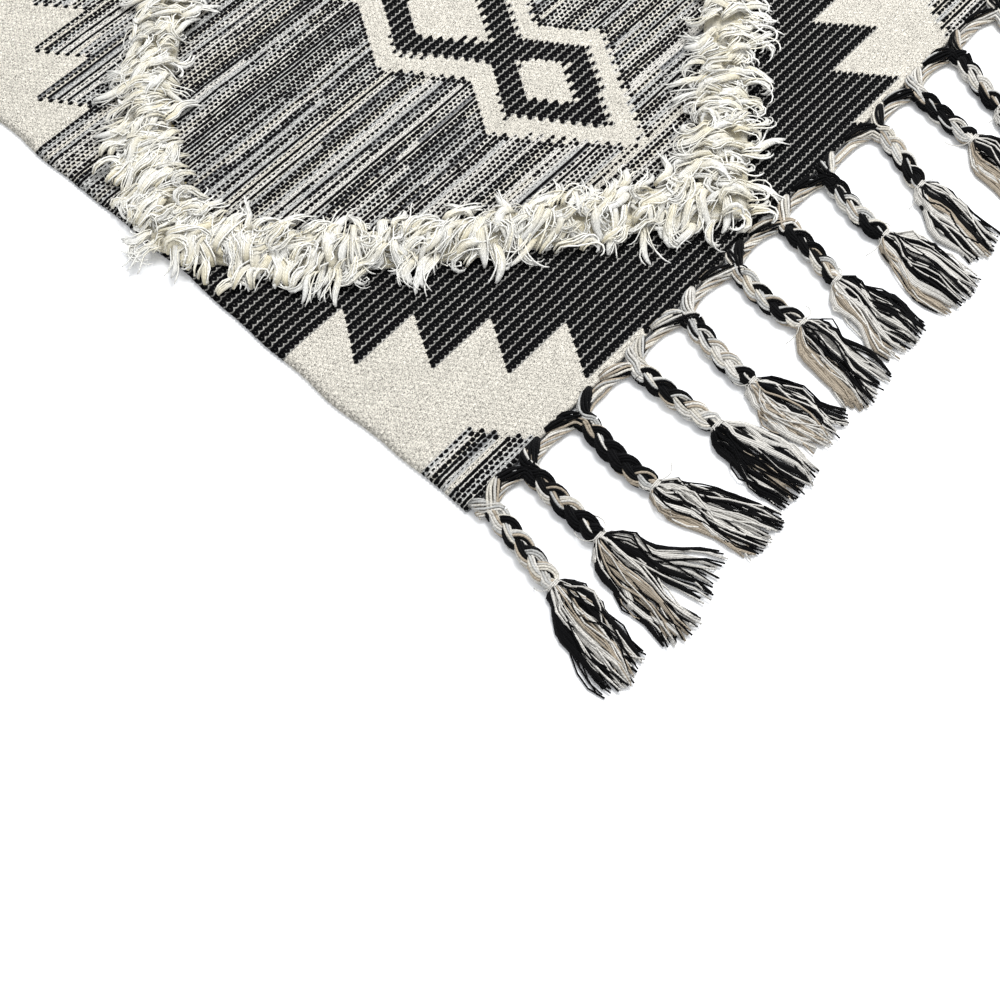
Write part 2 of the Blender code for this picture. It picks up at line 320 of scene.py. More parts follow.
@dataclass
class Shape:
    """A mesh in the making: points, faces in groups of one size, UV and thread colour."""

    points: Array
    faces: list[Array]
    uv: list[Array]
    tint: Array

    @staticmethod
    def joined(parts: list["Shape"]) -> "Shape":
        """Put several shapes into one, with each shape's corners counted on from the last one's."""
        starts = np.cumsum([0] + [len(part.points) for part in parts[:-1]])
        faces = [group + start for part, start in zip(parts, starts) for group in part.faces]
        uv = [group for part in parts for group in part.uv]
        points = np.concatenate([part.points for part in parts])
        return Shape(points, faces, uv, np.concatenate([part.tint for part in parts]))

    def turned(self, far: bool) -> "Shape":
        """The same shape, after half a turn about the rug's middle where it belongs to the far end."""
        return Shape(self.points * np.array([-1.0, -1.0, 1.0]), self.faces, self.uv, self.tint) if far else self

    def piece(
        self, name: str, finish: "YarnFinish | WovenFinish", slot: str, nodes: list[str]
    ) -> bpy.types.Object:
        """Make the mesh object and tie it to the CAD model.

        Args:
            name: The piece's name.
            finish: What it is made of.
            slot: The record's material slot.
            nodes: The CAD nodes that it stands for.

        Returns:
            The new object.
        """
        mesh = bpy.data.meshes.new(name)
        corners = np.concatenate([group.ravel() for group in self.faces]).astype(np.int32)
        sizes = np.concatenate([np.full(len(group), group.shape[1]) for group in self.faces])
        uv = np.concatenate([group.reshape(-1, 2) for group in self.uv])
        mesh.vertices.add(len(self.points))
        mesh.vertices.foreach_set("co", self.points.astype(np.float32).ravel())
        mesh.loops.add(len(corners))
        mesh.loops.foreach_set("vertex_index", corners)
        mesh.polygons.add(len(sizes))
        mesh.polygons.foreach_set("loop_start", (np.cumsum(sizes) - sizes).astype(np.int32))
        mesh.update(calc_edges=True)
        mesh.uv_layers.new(name="thread_run").data.foreach_set("uv", uv.astype(np.float32).ravel())
        paint(mesh, "thread", self.tint)
        mesh.materials.append(bpy.data.materials.get(finish.name) or finish.material())
        mesh.shade_smooth()
        made = put(name, mesh)
        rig.ride(made, "root")
        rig.slot(made, slot)
        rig.replaces(made, *nodes)
        mesh.calc_loop_triangles()
        LOG.info("%s: %d triangles", name, len(mesh.loop_triangles))
        return made


def tubes(
    paths: Array, radii: Array | float, sides: int, tint: Array, squash: float = 1.0, yarns: int = 1
) -> Shape:
    """Threads, or flat locks of several yarns, along many paths at once.

    Each station of a path carries a ring of points: centre + radius (cos a N + squash sin a B). N starts level
    and square to the path and is carried along it by taking away its part along the tangent, so that the tube
    never twists; B is the cross product of the tangent and N.

    Args:
        paths: Centrelines, threads by stations by 3.
        radii: Radii, one for all or threads by stations.
        sides: Points round a ring.
        tint: Colours, threads by 4 or by stations by 4. Alpha is 1 on one thread and 0 on a lock of yarns.
        squash: Height of a ring over its width.
        yarns: How many yarns lie side by side round a ring.

    Returns:
        The closed tubes as one shape. U counts yarns round the ring, and V is millimetres along it.
    """
    count, stations, _ = paths.shape
    tangent = unit(np.gradient(paths, axis=1))
    nearly_up = np.array([0.04, 0.07, 1.0])
    normals = [unit(np.cross(tangent[:, 0], nearly_up))]
    for station in range(1, stations):
        along = tangent[:, station]
        normals.append(unit(normals[-1] - np.sum(normals[-1] * along, axis=1, keepdims=True) * along))
    normal = np.stack(normals, axis=1)
    binormal = np.cross(tangent, normal) * squash
    side = np.arange(sides)
    angle = side[:, None] * 2 * np.pi / sides
    ring = normal[:, :, None] * np.cos(angle) + binormal[:, :, None] * np.sin(angle)
    points = paths[:, :, None] + np.broadcast_to(radii, (count, stations))[..., None, None] * ring

    after = (side + 1) % sides
    start = (np.arange(count)[:, None, None] * stations + np.arange(stations - 1)[None, :, None]) * sides
    quads = np.stack([start + side, start + after, start + sides + after, start + sides + side], axis=-1)
    base = np.arange(count)[:, None] * stations * sides
    caps = np.concatenate([base + side[::-1], base + (stations - 1) * sides + side])

    millimetres = np.linalg.norm(np.diff(paths, axis=1), axis=2) * 1000
    run = np.concatenate([np.zeros((count, 1)), np.cumsum(millimetres, axis=1)], axis=1)
    low, high = run[:, :-1, None] + 0 * side, run[:, 1:, None] + 0 * side
    number = np.arange(count)[:, None, None] * yarns + 0 * low
    left, right = (edge / sides * yarns + number for edge in (side, side + 1))
    corners = ((left, low), (right, low), (right, high), (left, high))
    uv = np.stack([np.stack(corner, axis=-1) for corner in corners], axis=-2)
    by_station = np.repeat(tint[:, None], stations, axis=1) if tint.ndim == 2 else tint
    colours = np.repeat(by_station[:, :, None], sides, axis=2).reshape(-1, 4)
    faces = [quads.reshape(-1, 4), caps]
    return Shape(points.reshape(-1, 3), faces, [uv.reshape(-1, 4, 2), np.zeros((*caps.shape, 2))], colours)


@dataclass(frozen=True)
class YarnFinish:
    """Loose spun wool: matt, with fibres that catch the light at its rim and a twist that shows as slant ribs.

    The shares say how far the dye darkens where its fuzz is thin, from yarn to yarn and in the streaks that loose
    fibres make, and how deep the painted shade is in the crease between two yarns of a lock and in the furrow of the
    twist.
    """

    name: str
    twist_mm: float
    rib_depth: float
    fuzz_mm: float = 1.6
    uneven: float = 0.16
    yarn_shades: float = 0.16
    crease: float = 0.45
    furrow: float = 0.14
    streak: float = 0.0
    streak_lines: float = 1.3
    streaks_in_mm: float = 0.26
    roughness: float = 0.92
    sheen: float = 0.03

    def material(self) -> bpy.types.Material:
        """Make the material: thread colour from the attribute, ribs from the UV run, fuzz from noise."""
        made, tree, shader = new_material(self.name)
        add = partial(add_node, tree)
        thread = add("Attribute", attribute_name="thread").node.outputs
        place = add("TexCoord", out="Object")
        run = add("UVMap", uv_map="thread_run")
        turns, along = add("SeparateXYZ", (run,)).node.outputs[:2]
        # Two plies lie round a yarn, so a rib comes past twice in each turn of the twist
        slant = add("Math", (along, 2 / self.twist_mm, turns), operation="MULTIPLY_ADD")
        phase = add("Math", (slant, 2 * math.pi), operation="MULTIPLY")
        rib = add("Math", (phase,), operation="SINE")
        fuzz = add("TexNoise", {"Vector": place, "Scale": 1000 / self.fuzz_mm, "Detail": 2.0}, "Fac")
        shade = add("MapRange", (fuzz, 0.25, 0.75, 1 - self.uneven, 1.0))
        # Painted shade: the colour darkens in the furrow between the twist's ribs
        furrow = add("MapRange", (rib, -1.0, 1.0, 1 - self.furrow, 1.0))
        # On a lock, every yarn has a shade of its own, and little light gets down between two yarns
        yarn = add("Math", (turns,), operation="FLOOR")
        chance = add("TexWhiteNoise", {"W": yarn}, "Value", noise_dimensions="1D")
        own = add("MapRange", (chance, 0.0, 1.0, 1 - self.yarn_shades, 1.0))
        beside = add("Math", (turns, 0.5), operation="PINGPONG")
        between = add("MapRange", (beside, 0.0, 0.26, 1.0, 0.0), interpolation_type="SMOOTHSTEP")
        on_lock = add("Math", (1.0, thread["Alpha"]), operation="SUBTRACT")
        crease = add("Math", (between, on_lock), operation="MULTIPLY")
        depth = add("MapRange", (crease, 0.0, 1.0, 1.0, 1 - self.crease))
        # Fibres that have come loose run along the yarn as fine bright and dark streaks
        stretch = (self.streak_lines, self.streaks_in_mm, 0.0)
        lines = add("VectorMath", (run, stretch), operation="MULTIPLY")
        fine = {"Vector": lines, "Scale": 1.0, "Detail": 2.0, "Roughness": 0.6}
        fibre = add("TexNoise", fine, "Fac")
        streaks = add("MapRange", (fibre, 0.30, 0.52, 1 - self.streak, 1.0))
        for factor in (furrow, own, depth, streaks):
            shade = add("Math", (shade, factor), operation="MULTIPLY")
        colour = add("VectorMath", {0: thread["Color"], "Scale": shade}, operation="SCALE")
        height = add("Math", (rib, 0.3, fuzz), operation="MULTIPLY_ADD")
        height = add("Math", (crease, -2.0, height), operation="MULTIPLY_ADD")
        bump = add("Bump", {"Strength": 0.6, "Distance": self.rib_depth, "Height": height})
        gloss = {"Roughness": self.roughness, "Specular IOR Level": 0.08}
        rim = {"Sheen Weight": self.sheen, "Sheen Roughness": 0.5}
        fill(tree, shader, {"Base Color": colour, "Normal": bump, **gloss, **rim})
        return made


@dataclass(frozen=True)
class WovenFinish:
    """Weft-faced wool cloth: matt rounded beads of weft packed over the warp, which shows as pale specks.

    The mesh's thread colour is the bead's own dye and the companion colour is what shows round it. Their
    alphas are the half length and the half height of the bead's mark, as shares of a bead and of a weft row:
    a large one fills the row, a small one leaves a dot or a dash. The pair line says how strongly the pale
    warp shows between two row pairs. An edge is where a pattern begins and ends to fade.
    """

    name: str = "weft_faced_wool"
    fuzz_mm: float = 1.4
    speckle_mm: float = 0.65
    bead_depth: float = 0.0009
    mark_edge: tuple[float, float] = (1.32, 1.54)
    line_edge: tuple[float, float] = (0.06, 0.19)
    line_arc: float = 0.34
    joint_edge: float = 0.11
    furrow_edge: float = 0.26
    speck_edge: tuple[float, float] = (0.39, 0.52)
    speck_dark: float = 0.14
    patches_in_metre: float = 35.0
    bead_shoulder: float = 0.32
    row_shoulder: float = 0.4

    def material(self) -> bpy.types.Material:
        """Make the material, from UV that counts beads across the rug and weft rows along it."""
        made, tree, shader = new_material(self.name)
        add = partial(add_node, tree)
        thread = add("Attribute", attribute_name="thread").node.outputs
        companion = add("Attribute", attribute_name="companion").node.outputs
        strength = add("Attribute", out="Fac", attribute_name="pair_line")
        place = add("TexCoord", out="Object")
        run = add("UVMap", uv_map="thread_run")
        beads, rows = add("SeparateXYZ", (run,)).node.outputs[:2]
        fuzz = add("TexNoise", {"Vector": place, "Scale": 1000 / self.fuzz_mm, "Detail": 3.0}, "Fac")
        # Beads of every second weft row sit half a bead along, as plain weave turns over the other warps
        row = add("Math", (rows,), operation="FLOOR")
        odd = add("Math", (row, 1.0), operation="PINGPONG")
        shifted = add("Math", (odd, 0.5, beads), operation="MULTIPLY_ADD")
        to_joint, to_furrow, to_pair_joint = (
            add("Math", (count, 0.5), operation="PINGPONG") for count in (shifted, rows, beads)
        )
        # A bead's mark is the ellipse round the bead's middle, with an edge roughened by the wool's fuzz
        shares = []
        for gap, half in ((to_joint, thread["Alpha"]), (to_furrow, companion["Alpha"])):
            off = add("Math", (0.5, gap), operation="SUBTRACT")
            shares.append(add("Math", (off, half), operation="DIVIDE"))
        spread = add("CombineXYZ", shares)
        radius = add("VectorMath", (spread,), "Value", operation="LENGTH")
        ragged = add("Math", (fuzz, 0.9, radius), operation="MULTIPLY_ADD")
        mark = add("MapRange", (ragged, *self.mark_edge, 1.0, 0.0), interpolation_type="SMOOTHSTEP")
        # The line between row pairs hangs in small arcs from bead joint to bead joint, and is palest at a joint
        cusp = add("MapRange", (to_pair_joint, 0.0, 0.5, 1.0, 0.0))
        cusp = add("Math", (cusp, 1.7), operation="POWER")
        bent = add("Math", (cusp, -self.line_arc, rows), operation="MULTIPLY_ADD")
        to_line = add("Math", (bent, 1.0), operation="PINGPONG")
        line = add("MapRange", (to_line, *self.line_edge, 1.0, 0.0), interpolation_type="SMOOTHSTEP")
        bright = add("MapRange", (cusp, 0.0, 0.7, 0.70, 1.0))
        line = add("Math", (line, bright), operation="MULTIPLY")
        # Between the two rows of a pair only a dot of warp shows at each joint
        near_joint = add("MapRange", (to_joint, 0.0, self.joint_edge, 0.4, 0.0))
        near_furrow = add("MapRange", (to_furrow, 0.0, self.furrow_edge, 1.0, 0.0))
        dot = add("Math", (near_joint, near_furrow), operation="MULTIPLY")
        warp = add("Math", (line, dot), operation="MAXIMUM")
        warp = add("Math", (warp, strength), operation="MULTIPLY")
        covered = add("Math", (1.0, warp), operation="SUBTRACT")
        cover = add("Math", (covered, mark), operation="MULTIPLY")
        two_dyes = {0: cover, 6: companion["Color"], 7: thread["Color"]}
        mixed = add("Mix", two_dyes, 2, data_type="RGBA")
        # Pebbly dark specks where the wool's fibres part, and slow patches where the dye took better
        fine = {"Vector": place, "Scale": 1000 / self.speckle_mm, "Detail": 2.0, "Roughness": 0.6}
        grain = add("TexNoise", fine, "Fac")
        specks = add("MapRange", (grain, *self.speck_edge, self.speck_dark, 1.0))
        shade = add("MapRange", (fuzz, 0.28, 0.72, 0.78, 1.06))
        slow = {"Vector": place, "Scale": self.patches_in_metre, "Detail": 2.0}
        patch = add("TexNoise", slow, "Fac")
        drift = add("MapRange", (patch, 0.3, 0.7, 0.95, 1.02))
        # Furrows between rows and beads are darker, because little light gets down between the threads
        bead_crown, row_crown = (
            add("MapRange", (gap, 0.0, shoulder), interpolation_type="SMOOTHSTEP")
            for gap, shoulder in ((to_joint, self.bead_shoulder), (to_furrow, self.row_shoulder))
        )
        crown = add("Math", (bead_crown, row_crown), operation="MULTIPLY")
        hollow = add("MapRange", (crown, 0.0, 1.0, 0.88, 1.0))
        for factor in (drift, hollow, specks):
            shade = add("Math", (shade, factor), operation="MULTIPLY")
        colour = add("VectorMath", {0: mixed, "Scale": shade}, operation="SCALE")
        height = add("Math", (fuzz, 0.45, crown), operation="MULTIPLY_ADD")
        bump = add("Bump", {"Strength": 0.7, "Distance": self.bead_depth, "Height": height})
        gloss = {"Roughness": 0.95, "Specular IOR Level": 0.05}
        fill(tree, shader, {"Base Color": colour, "Normal": bump, **gloss})
        return made


PILE_YARN = YarnFinish(
    "cream_wool_pile",
    twist_mm=5.0,
    rib_depth=0.0004,
    uneven=0.06,
    yarn_shades=0.08,
    crease=0.30,
    streak=0.38,
    sheen=0.4,
)
BRAID_YARN, HEADING_YARN = (
    YarnFinish(name, twist_mm=4.0, rib_depth=0.0005, uneven=0.2, streak=0.42, streak_lines=4.0)
    for name in ("braided_warp_thread", "knotted_warp_thread")
)


class Area(Enum):
    """Which dyeing of the weft an area of the pattern has."""

    BLACK = 0
    CREAM = 1
    HEATHERED = 2
    PILE_GROUND = 3


@dataclass
class WovenField:
    """The woven cloth: one closed sheet whose weft rows stand up as rounded ribs, with its pattern by bead."""

    seed: int = 11
    ridge: float = 0.0013
    flank_foot: float = 0.0006
    lowest: float = 0.0012
    edge_fall: float = 0.0017
    crown_jitter: float = 0.00012
    # The selvedges' slow waves, the swelling where the weft turns back, and how far a row drifts along the rug
    side_waves: tuple = ((0.0022, 9, 0.6), (0.0009, 23, 0))
    swell_waves: tuple = ((0.0006, 97, 0), (0.0005, 61, 1))
    turn_swell: float = 0.0006
    turn_jitter: float = 0.00012
    row_drift: float = 0.00032
    drift_knots: tuple[int, int] = (46, 24)
    # Pattern in beads and row pairs
    saw_top: float = 25.0
    saw_step: float = 6.0
    saw_first: float = 13.0
    saw_gain: float = 7.0
    corner_rows: float = 6.4
    corner_reach: float = 15.5
    ground_half: float = 3.6
    chain: tuple = ((29.6, 5.1, 10.5, 15.0), (45.0, 7.4, 13.1, 17.8), (60.4, 5.1, 10.5, 15.0))
    chain_off: float = 0.7
    chain_slope: float = 1.07
    row_lag: float = 0.375
    tooth_turn: float = 0.32
    # Darkness of the heathered weft by run, row, stretch, bead and shuttle, and its marks from pale to dark
    run_beads: int = 30
    shuttle_change: float = 0.2
    dark_shares: tuple = (0.40, 0.34, 0.16, 0.05, 0.20)
    dark_offset: float = 0.05
    dark_steps: tuple = (0.31, 0.44, 0.59, 0.74)
    mark_lengths: tuple = (0.26, 0.36, 0.43, 0.52, 1.60)
    mark_heights: tuple = (0.12, 0.21, 0.38, 0.56, 0.36)
    tone_steps: tuple = (0.36, 0.78, 0.95)
    whole_mark: float = 9.0
    bold_dot: tuple[float, float] = (0.55, 0.62)

    def areas(self, bead: Array, pair: Array) -> Array:
        """Which area each bead lies in.

        The pattern is symmetric about the rug's middle line and about its middle row. Sawteeth step one bead
        for each row pair, and the charms on the middle line are the beads whose sum of distances from a
        centre, across and along, is under a radius.

        Args:
            bead: Places across, in beads from the selvedge at low X.
            pair: Places along, in row pairs from the woven edge at low Y.

        Returns:
            The value of an Area for each place.
        """
        inner = np.minimum(bead, BEADS - bead)
        along = np.minimum(pair, ROW_PAIRS - pair)
        off_line = np.abs(bead - BEADS / 2)
        share = 1 - np.abs(along - DIAMOND_ROW) / DIAMOND_HALF_ROWS
        past = off_line - np.where(share > 0, DIAMOND_HALF_BEADS * share + diamond_bow(share), -BEADS)
        low = along < DIAMOND_ROW
        found = np.where((past > 0) & low, Area.BLACK.value, Area.HEATHERED.value)
        depth = np.where(low, self.saw_top - along, along - (2 * DIAMOND_ROW - self.saw_top)) / self.saw_step
        tooth = np.floor(depth)
        reach = self.saw_first + self.saw_gain * tooth - self.saw_step * (depth - tooth)
        found = np.where((depth > 0) & (inner < reach) & (past > 0), Area.CREAM.value, found)
        corner = np.where(low, along, 2 * DIAMOND_ROW - along)
        patched = (corner < self.corner_rows) & (inner + corner < self.corner_reach)
        found = np.where(patched, Area.HEATHERED.value, found)
        off_chain = np.abs(bead - BEADS / 2 - np.where(pair < ROW_PAIRS / 2, self.chain_off, -self.chain_off))
        distances = [(off_chain + self.chain_slope * np.abs(along - row), *radii) for row, *radii in self.chain]
        inside = past < 0
        for radius, area in ((3, Area.CREAM), (2, Area.BLACK), (1, Area.CREAM)):
            for charm in distances:
                found = np.where(inside & (charm[0] < charm[radius]), area.value, found)
        return np.where(np.abs(past) < self.ground_half, Area.PILE_GROUND.value, found)

    def heather(self, rng: np.random.Generator, rows: int) -> tuple[Array, Array]:
        """Streaks of the heathered weft, which is spun from black and white.

        Each weft row is cut at random into runs of about 30 beads. A bead's darkness is a share of its row's
        level, of its run's and of a slow drift along the rug, and two shuttles in turn bring a paler and a
        darker yarn. From pale to dark, a run shows black ticks, dashes, dots, bold dots, and last a black line
        with hardly a joint.

        Args:
            rng: The source of random numbers.
            rows: How many weft rows there are.

        Returns:
            Colours of the marks and of the wool round them, rows by beads by 4. Their alphas are the marks'
            half lengths and half heights.
        """
        cuts = rng.random((rows, BEADS)) < 1 / self.run_beads
        runs = np.cumsum(cuts.ravel()).reshape(rows, BEADS)
        run_level, run_tone = rng.random((2, runs.max() + 1))
        row_level = rng.random((rows, 1))
        slow = np.interp(np.arange(rows), np.linspace(0, rows, 31), rng.random(31))[:, None]
        shuttle = np.cumsum(rng.random((rows, 1)) < self.shuttle_change, axis=0) + np.arange(rows)[:, None]
        levels = (run_level[runs], row_level, slow, rng.random((rows, BEADS)), shuttle % 2)
        dark = sum(share * level for share, level in zip(self.dark_shares, levels)) - self.dark_offset
        kind = np.searchsorted(self.dark_steps, dark)
        half_long = np.array(self.mark_lengths)[kind] * rng.uniform(0.9, 1.1, (rows, BEADS))
        half_tall = np.array(self.mark_heights)[kind] * rng.uniform(0.85, 1.15, (rows, BEADS))
        marks = np.tile(Dye.BLACK.light, (rows, BEADS, 1))
        marks[..., 3] = half_long
        tones = np.stack([dye.light for dye in (Dye.GREY_WHITE, Dye.WHITE, Dye.CREAM, Dye.SMOKE)])
        wool = tones[np.searchsorted(self.tone_steps, run_tone)][runs]
        wool[..., 3] = half_tall
        return marks, wool

    def build(self) -> bpy.types.Object:
        """Make the sheet.

        Lines of points run along the rug, one between every two beads, and stations across it lie at every
        furrow and every crown of a weft row. Height is the cloth's top at a crown and a ridge lower in a
        furrow. Lines are shifted along X by half a bead at the crown of every second row and by a quarter
        in the furrows, so that beads sit like bricks. One face closes the bottom and one each end.

        Returns:
            The sheet's object.
        """
        rng = np.random.default_rng(self.seed)
        rows = 2 * ROW_PAIRS
        stations = np.arange(2 * rows + 1)
        crown = stations % 2
        shift = np.where(crown == 1, 0.5 * ((stations // 2) % 2), 0.25)
        lines = np.arange(BEADS + 1)
        y = WOVEN_EDGE + stations * ROW_PAIR / 4
        inner_line = (lines > 0) & (lines < BEADS)
        count = lines[None, :] + shift[:, None] * inner_line
        held = 1 - (y / WOVEN_EDGE) ** 8
        swell = self.turn_swell * (crown - 1) + rng.normal(0, self.turn_jitter, len(y))
        swell = swell + waves(y, self.swell_waves)
        left = -WIDTH / 2 - waves(y, self.side_waves) * held - swell
        right = WIDTH / 2 + waves(-y, self.side_waves) * held + swell
        x = left[:, None] + (right - left)[:, None] * count / BEADS
        # A coarse net of random steps along the rug, joined first across it and then along it
        knots_along, knots_across = self.drift_knots
        net = rng.normal(0, self.row_drift, self.drift_knots)
        net = np.stack([np.interp(lines, np.linspace(0, BEADS, knots_across), knots) for knots in net])
        joined = [np.interp(stations, np.linspace(0, 2 * rows, knots_along), knots) for knots in net.T]
        inside = np.sin(np.pi * stations / (2 * rows)) ** 0.2 * (stations > 0) * (stations < 2 * rows)
        ys = y[:, None] + np.stack(joined, axis=1) * inside[:, None]
        jitter = self.crown_jitter * rng.random(x.shape)
        z = CLOTH_TOP - self.ridge * (1 - crown)[:, None] - jitter * crown[:, None]
        fall = np.interp(np.minimum(lines, BEADS - lines), [0, 1], [self.edge_fall, 0.0])
        top = np.stack([x, ys, np.maximum(z - fall[None, :], self.lowest)], axis=-1)
        feet = (left + self.flank_foot, right - self.flank_foot)
        foot_left, foot_right = (np.stack([foot, y, 0 * y], axis=-1)[:, None] for foot in feet)
        grid = np.concatenate([foot_left, top, foot_right], axis=1)
        tall, wide = grid.shape[:2]
        number = np.arange(tall * wide).reshape(tall, wide)
        bottom = np.concatenate([number[:, 0], number[::-1, -1]])[None, :]
        ends = np.stack([number[0, ::-1], number[-1]])
        flank = 0 * count[:, :1]
        run = np.concatenate([flank - 0.8, count, flank + BEADS + 0.8], axis=1)
        uv = np.stack([run, stations[:, None] / 2 + 0 * run], axis=-1)

        column = np.clip(np.arange(wide - 1) - 1, 0, BEADS - 1)
        weft_row = np.arange(tall - 1) // 2
        thread, companion, line = (
            np.repeat(beads[weft_row][:, column].reshape((tall - 1) * (wide - 1), -1), 4, axis=0)
            for beads in self.dyes(rng, rows)
        )
        plain = np.repeat(Dye.SMOKE.light[None, :], bottom.size + ends.size, axis=0)
        shape = Shape(
            grid.reshape(-1, 3),
            [cells(number).reshape(-1, 4), bottom, ends],
            [cells(uv, -2).reshape(-1, 4, 2), uv.reshape(-1, 2)[bottom], uv.reshape(-1, 2)[ends]],
            np.concatenate([thread, plain]),
        )
        made = shape.piece("woven_cloth", WovenFinish(), "woven_wool", ["woven_field"])
        paint(made.data, "companion", np.concatenate([companion, plain]))
        layer = made.data.attributes.new(name="pair_line", type="FLOAT", domain="CORNER")
        layer.data.foreach_set("value", np.append(line, np.zeros(len(plain))).astype(np.float32))
        return made

    def dyes(self, rng: np.random.Generator, rows: int) -> tuple[Array, Array, Array]:
        """Thread and companion colours of every bead.

        An edge of the pattern moves once in each row pair, and the two rows of a pair turn back half a bead
        before and after it, so that edges are toothed.

        Args:
            rng: The source of random numbers.
            rows: How many weft rows there are.

        Returns:
            Two arrays, rows by beads by 4, whose alphas are the bead marks' half lengths and half heights,
            and how strongly the line between row pairs shows, rows by beads.
        """
        row = np.arange(rows)[:, None]
        odd = row % 2 == 1
        bead = np.arange(BEADS)[None, :] + 0.5 + self.row_lag * odd
        turn = np.where(bead < BEADS / 2, self.tooth_turn, -self.tooth_turn) * np.where(odd, -1.0, 1.0)
        area = self.areas(bead + turn, row // 2 + 0.5 + 0 * bead)
        black, woolly, cream, ground = (
            area == kind.value for kind in (Area.BLACK, Area.HEATHERED, Area.CREAM, Area.PILE_GROUND)
        )
        marks, wool = self.heather(rng, rows)
        thread = np.tile(Dye.CREAM.light, (rows, BEADS, 1))
        # Round a cream bead the companion is a darker copy of its cream: painted shade
        companion = thread * np.array([0.80, 0.78, 0.74, 1.0])
        thread[..., 3], companion[..., 3] = self.whole_mark, self.whole_mark
        thread[black, :3], companion[black, :3] = Dye.BLACK.light[:3], Dye.WARP_WHITE.light[:3]
        thread[woolly], companion[woolly] = marks[woolly], wool[woolly]
        # Where the heathered weft turns back at a cream edge, its dark ply stands up as a bold dot
        turned = woolly & (np.roll(cream, 1, axis=1) | np.roll(cream, -1, axis=1)) & ~odd
        thread[turned, 3], companion[turned, 3] = self.bold_dot
        # Painted shade: beads under the pile band take the pile's shaded root colour
        thread[ground, :3] = Dye.PILE_ROOT.light[:3]
        thread[..., :3] *= 1 + rng.normal(0, 0.035, (rows, BEADS, 1))
        return thread, companion, np.where(black, rng.uniform(0.75, 1.0, (rows, BEADS)), 0.0)


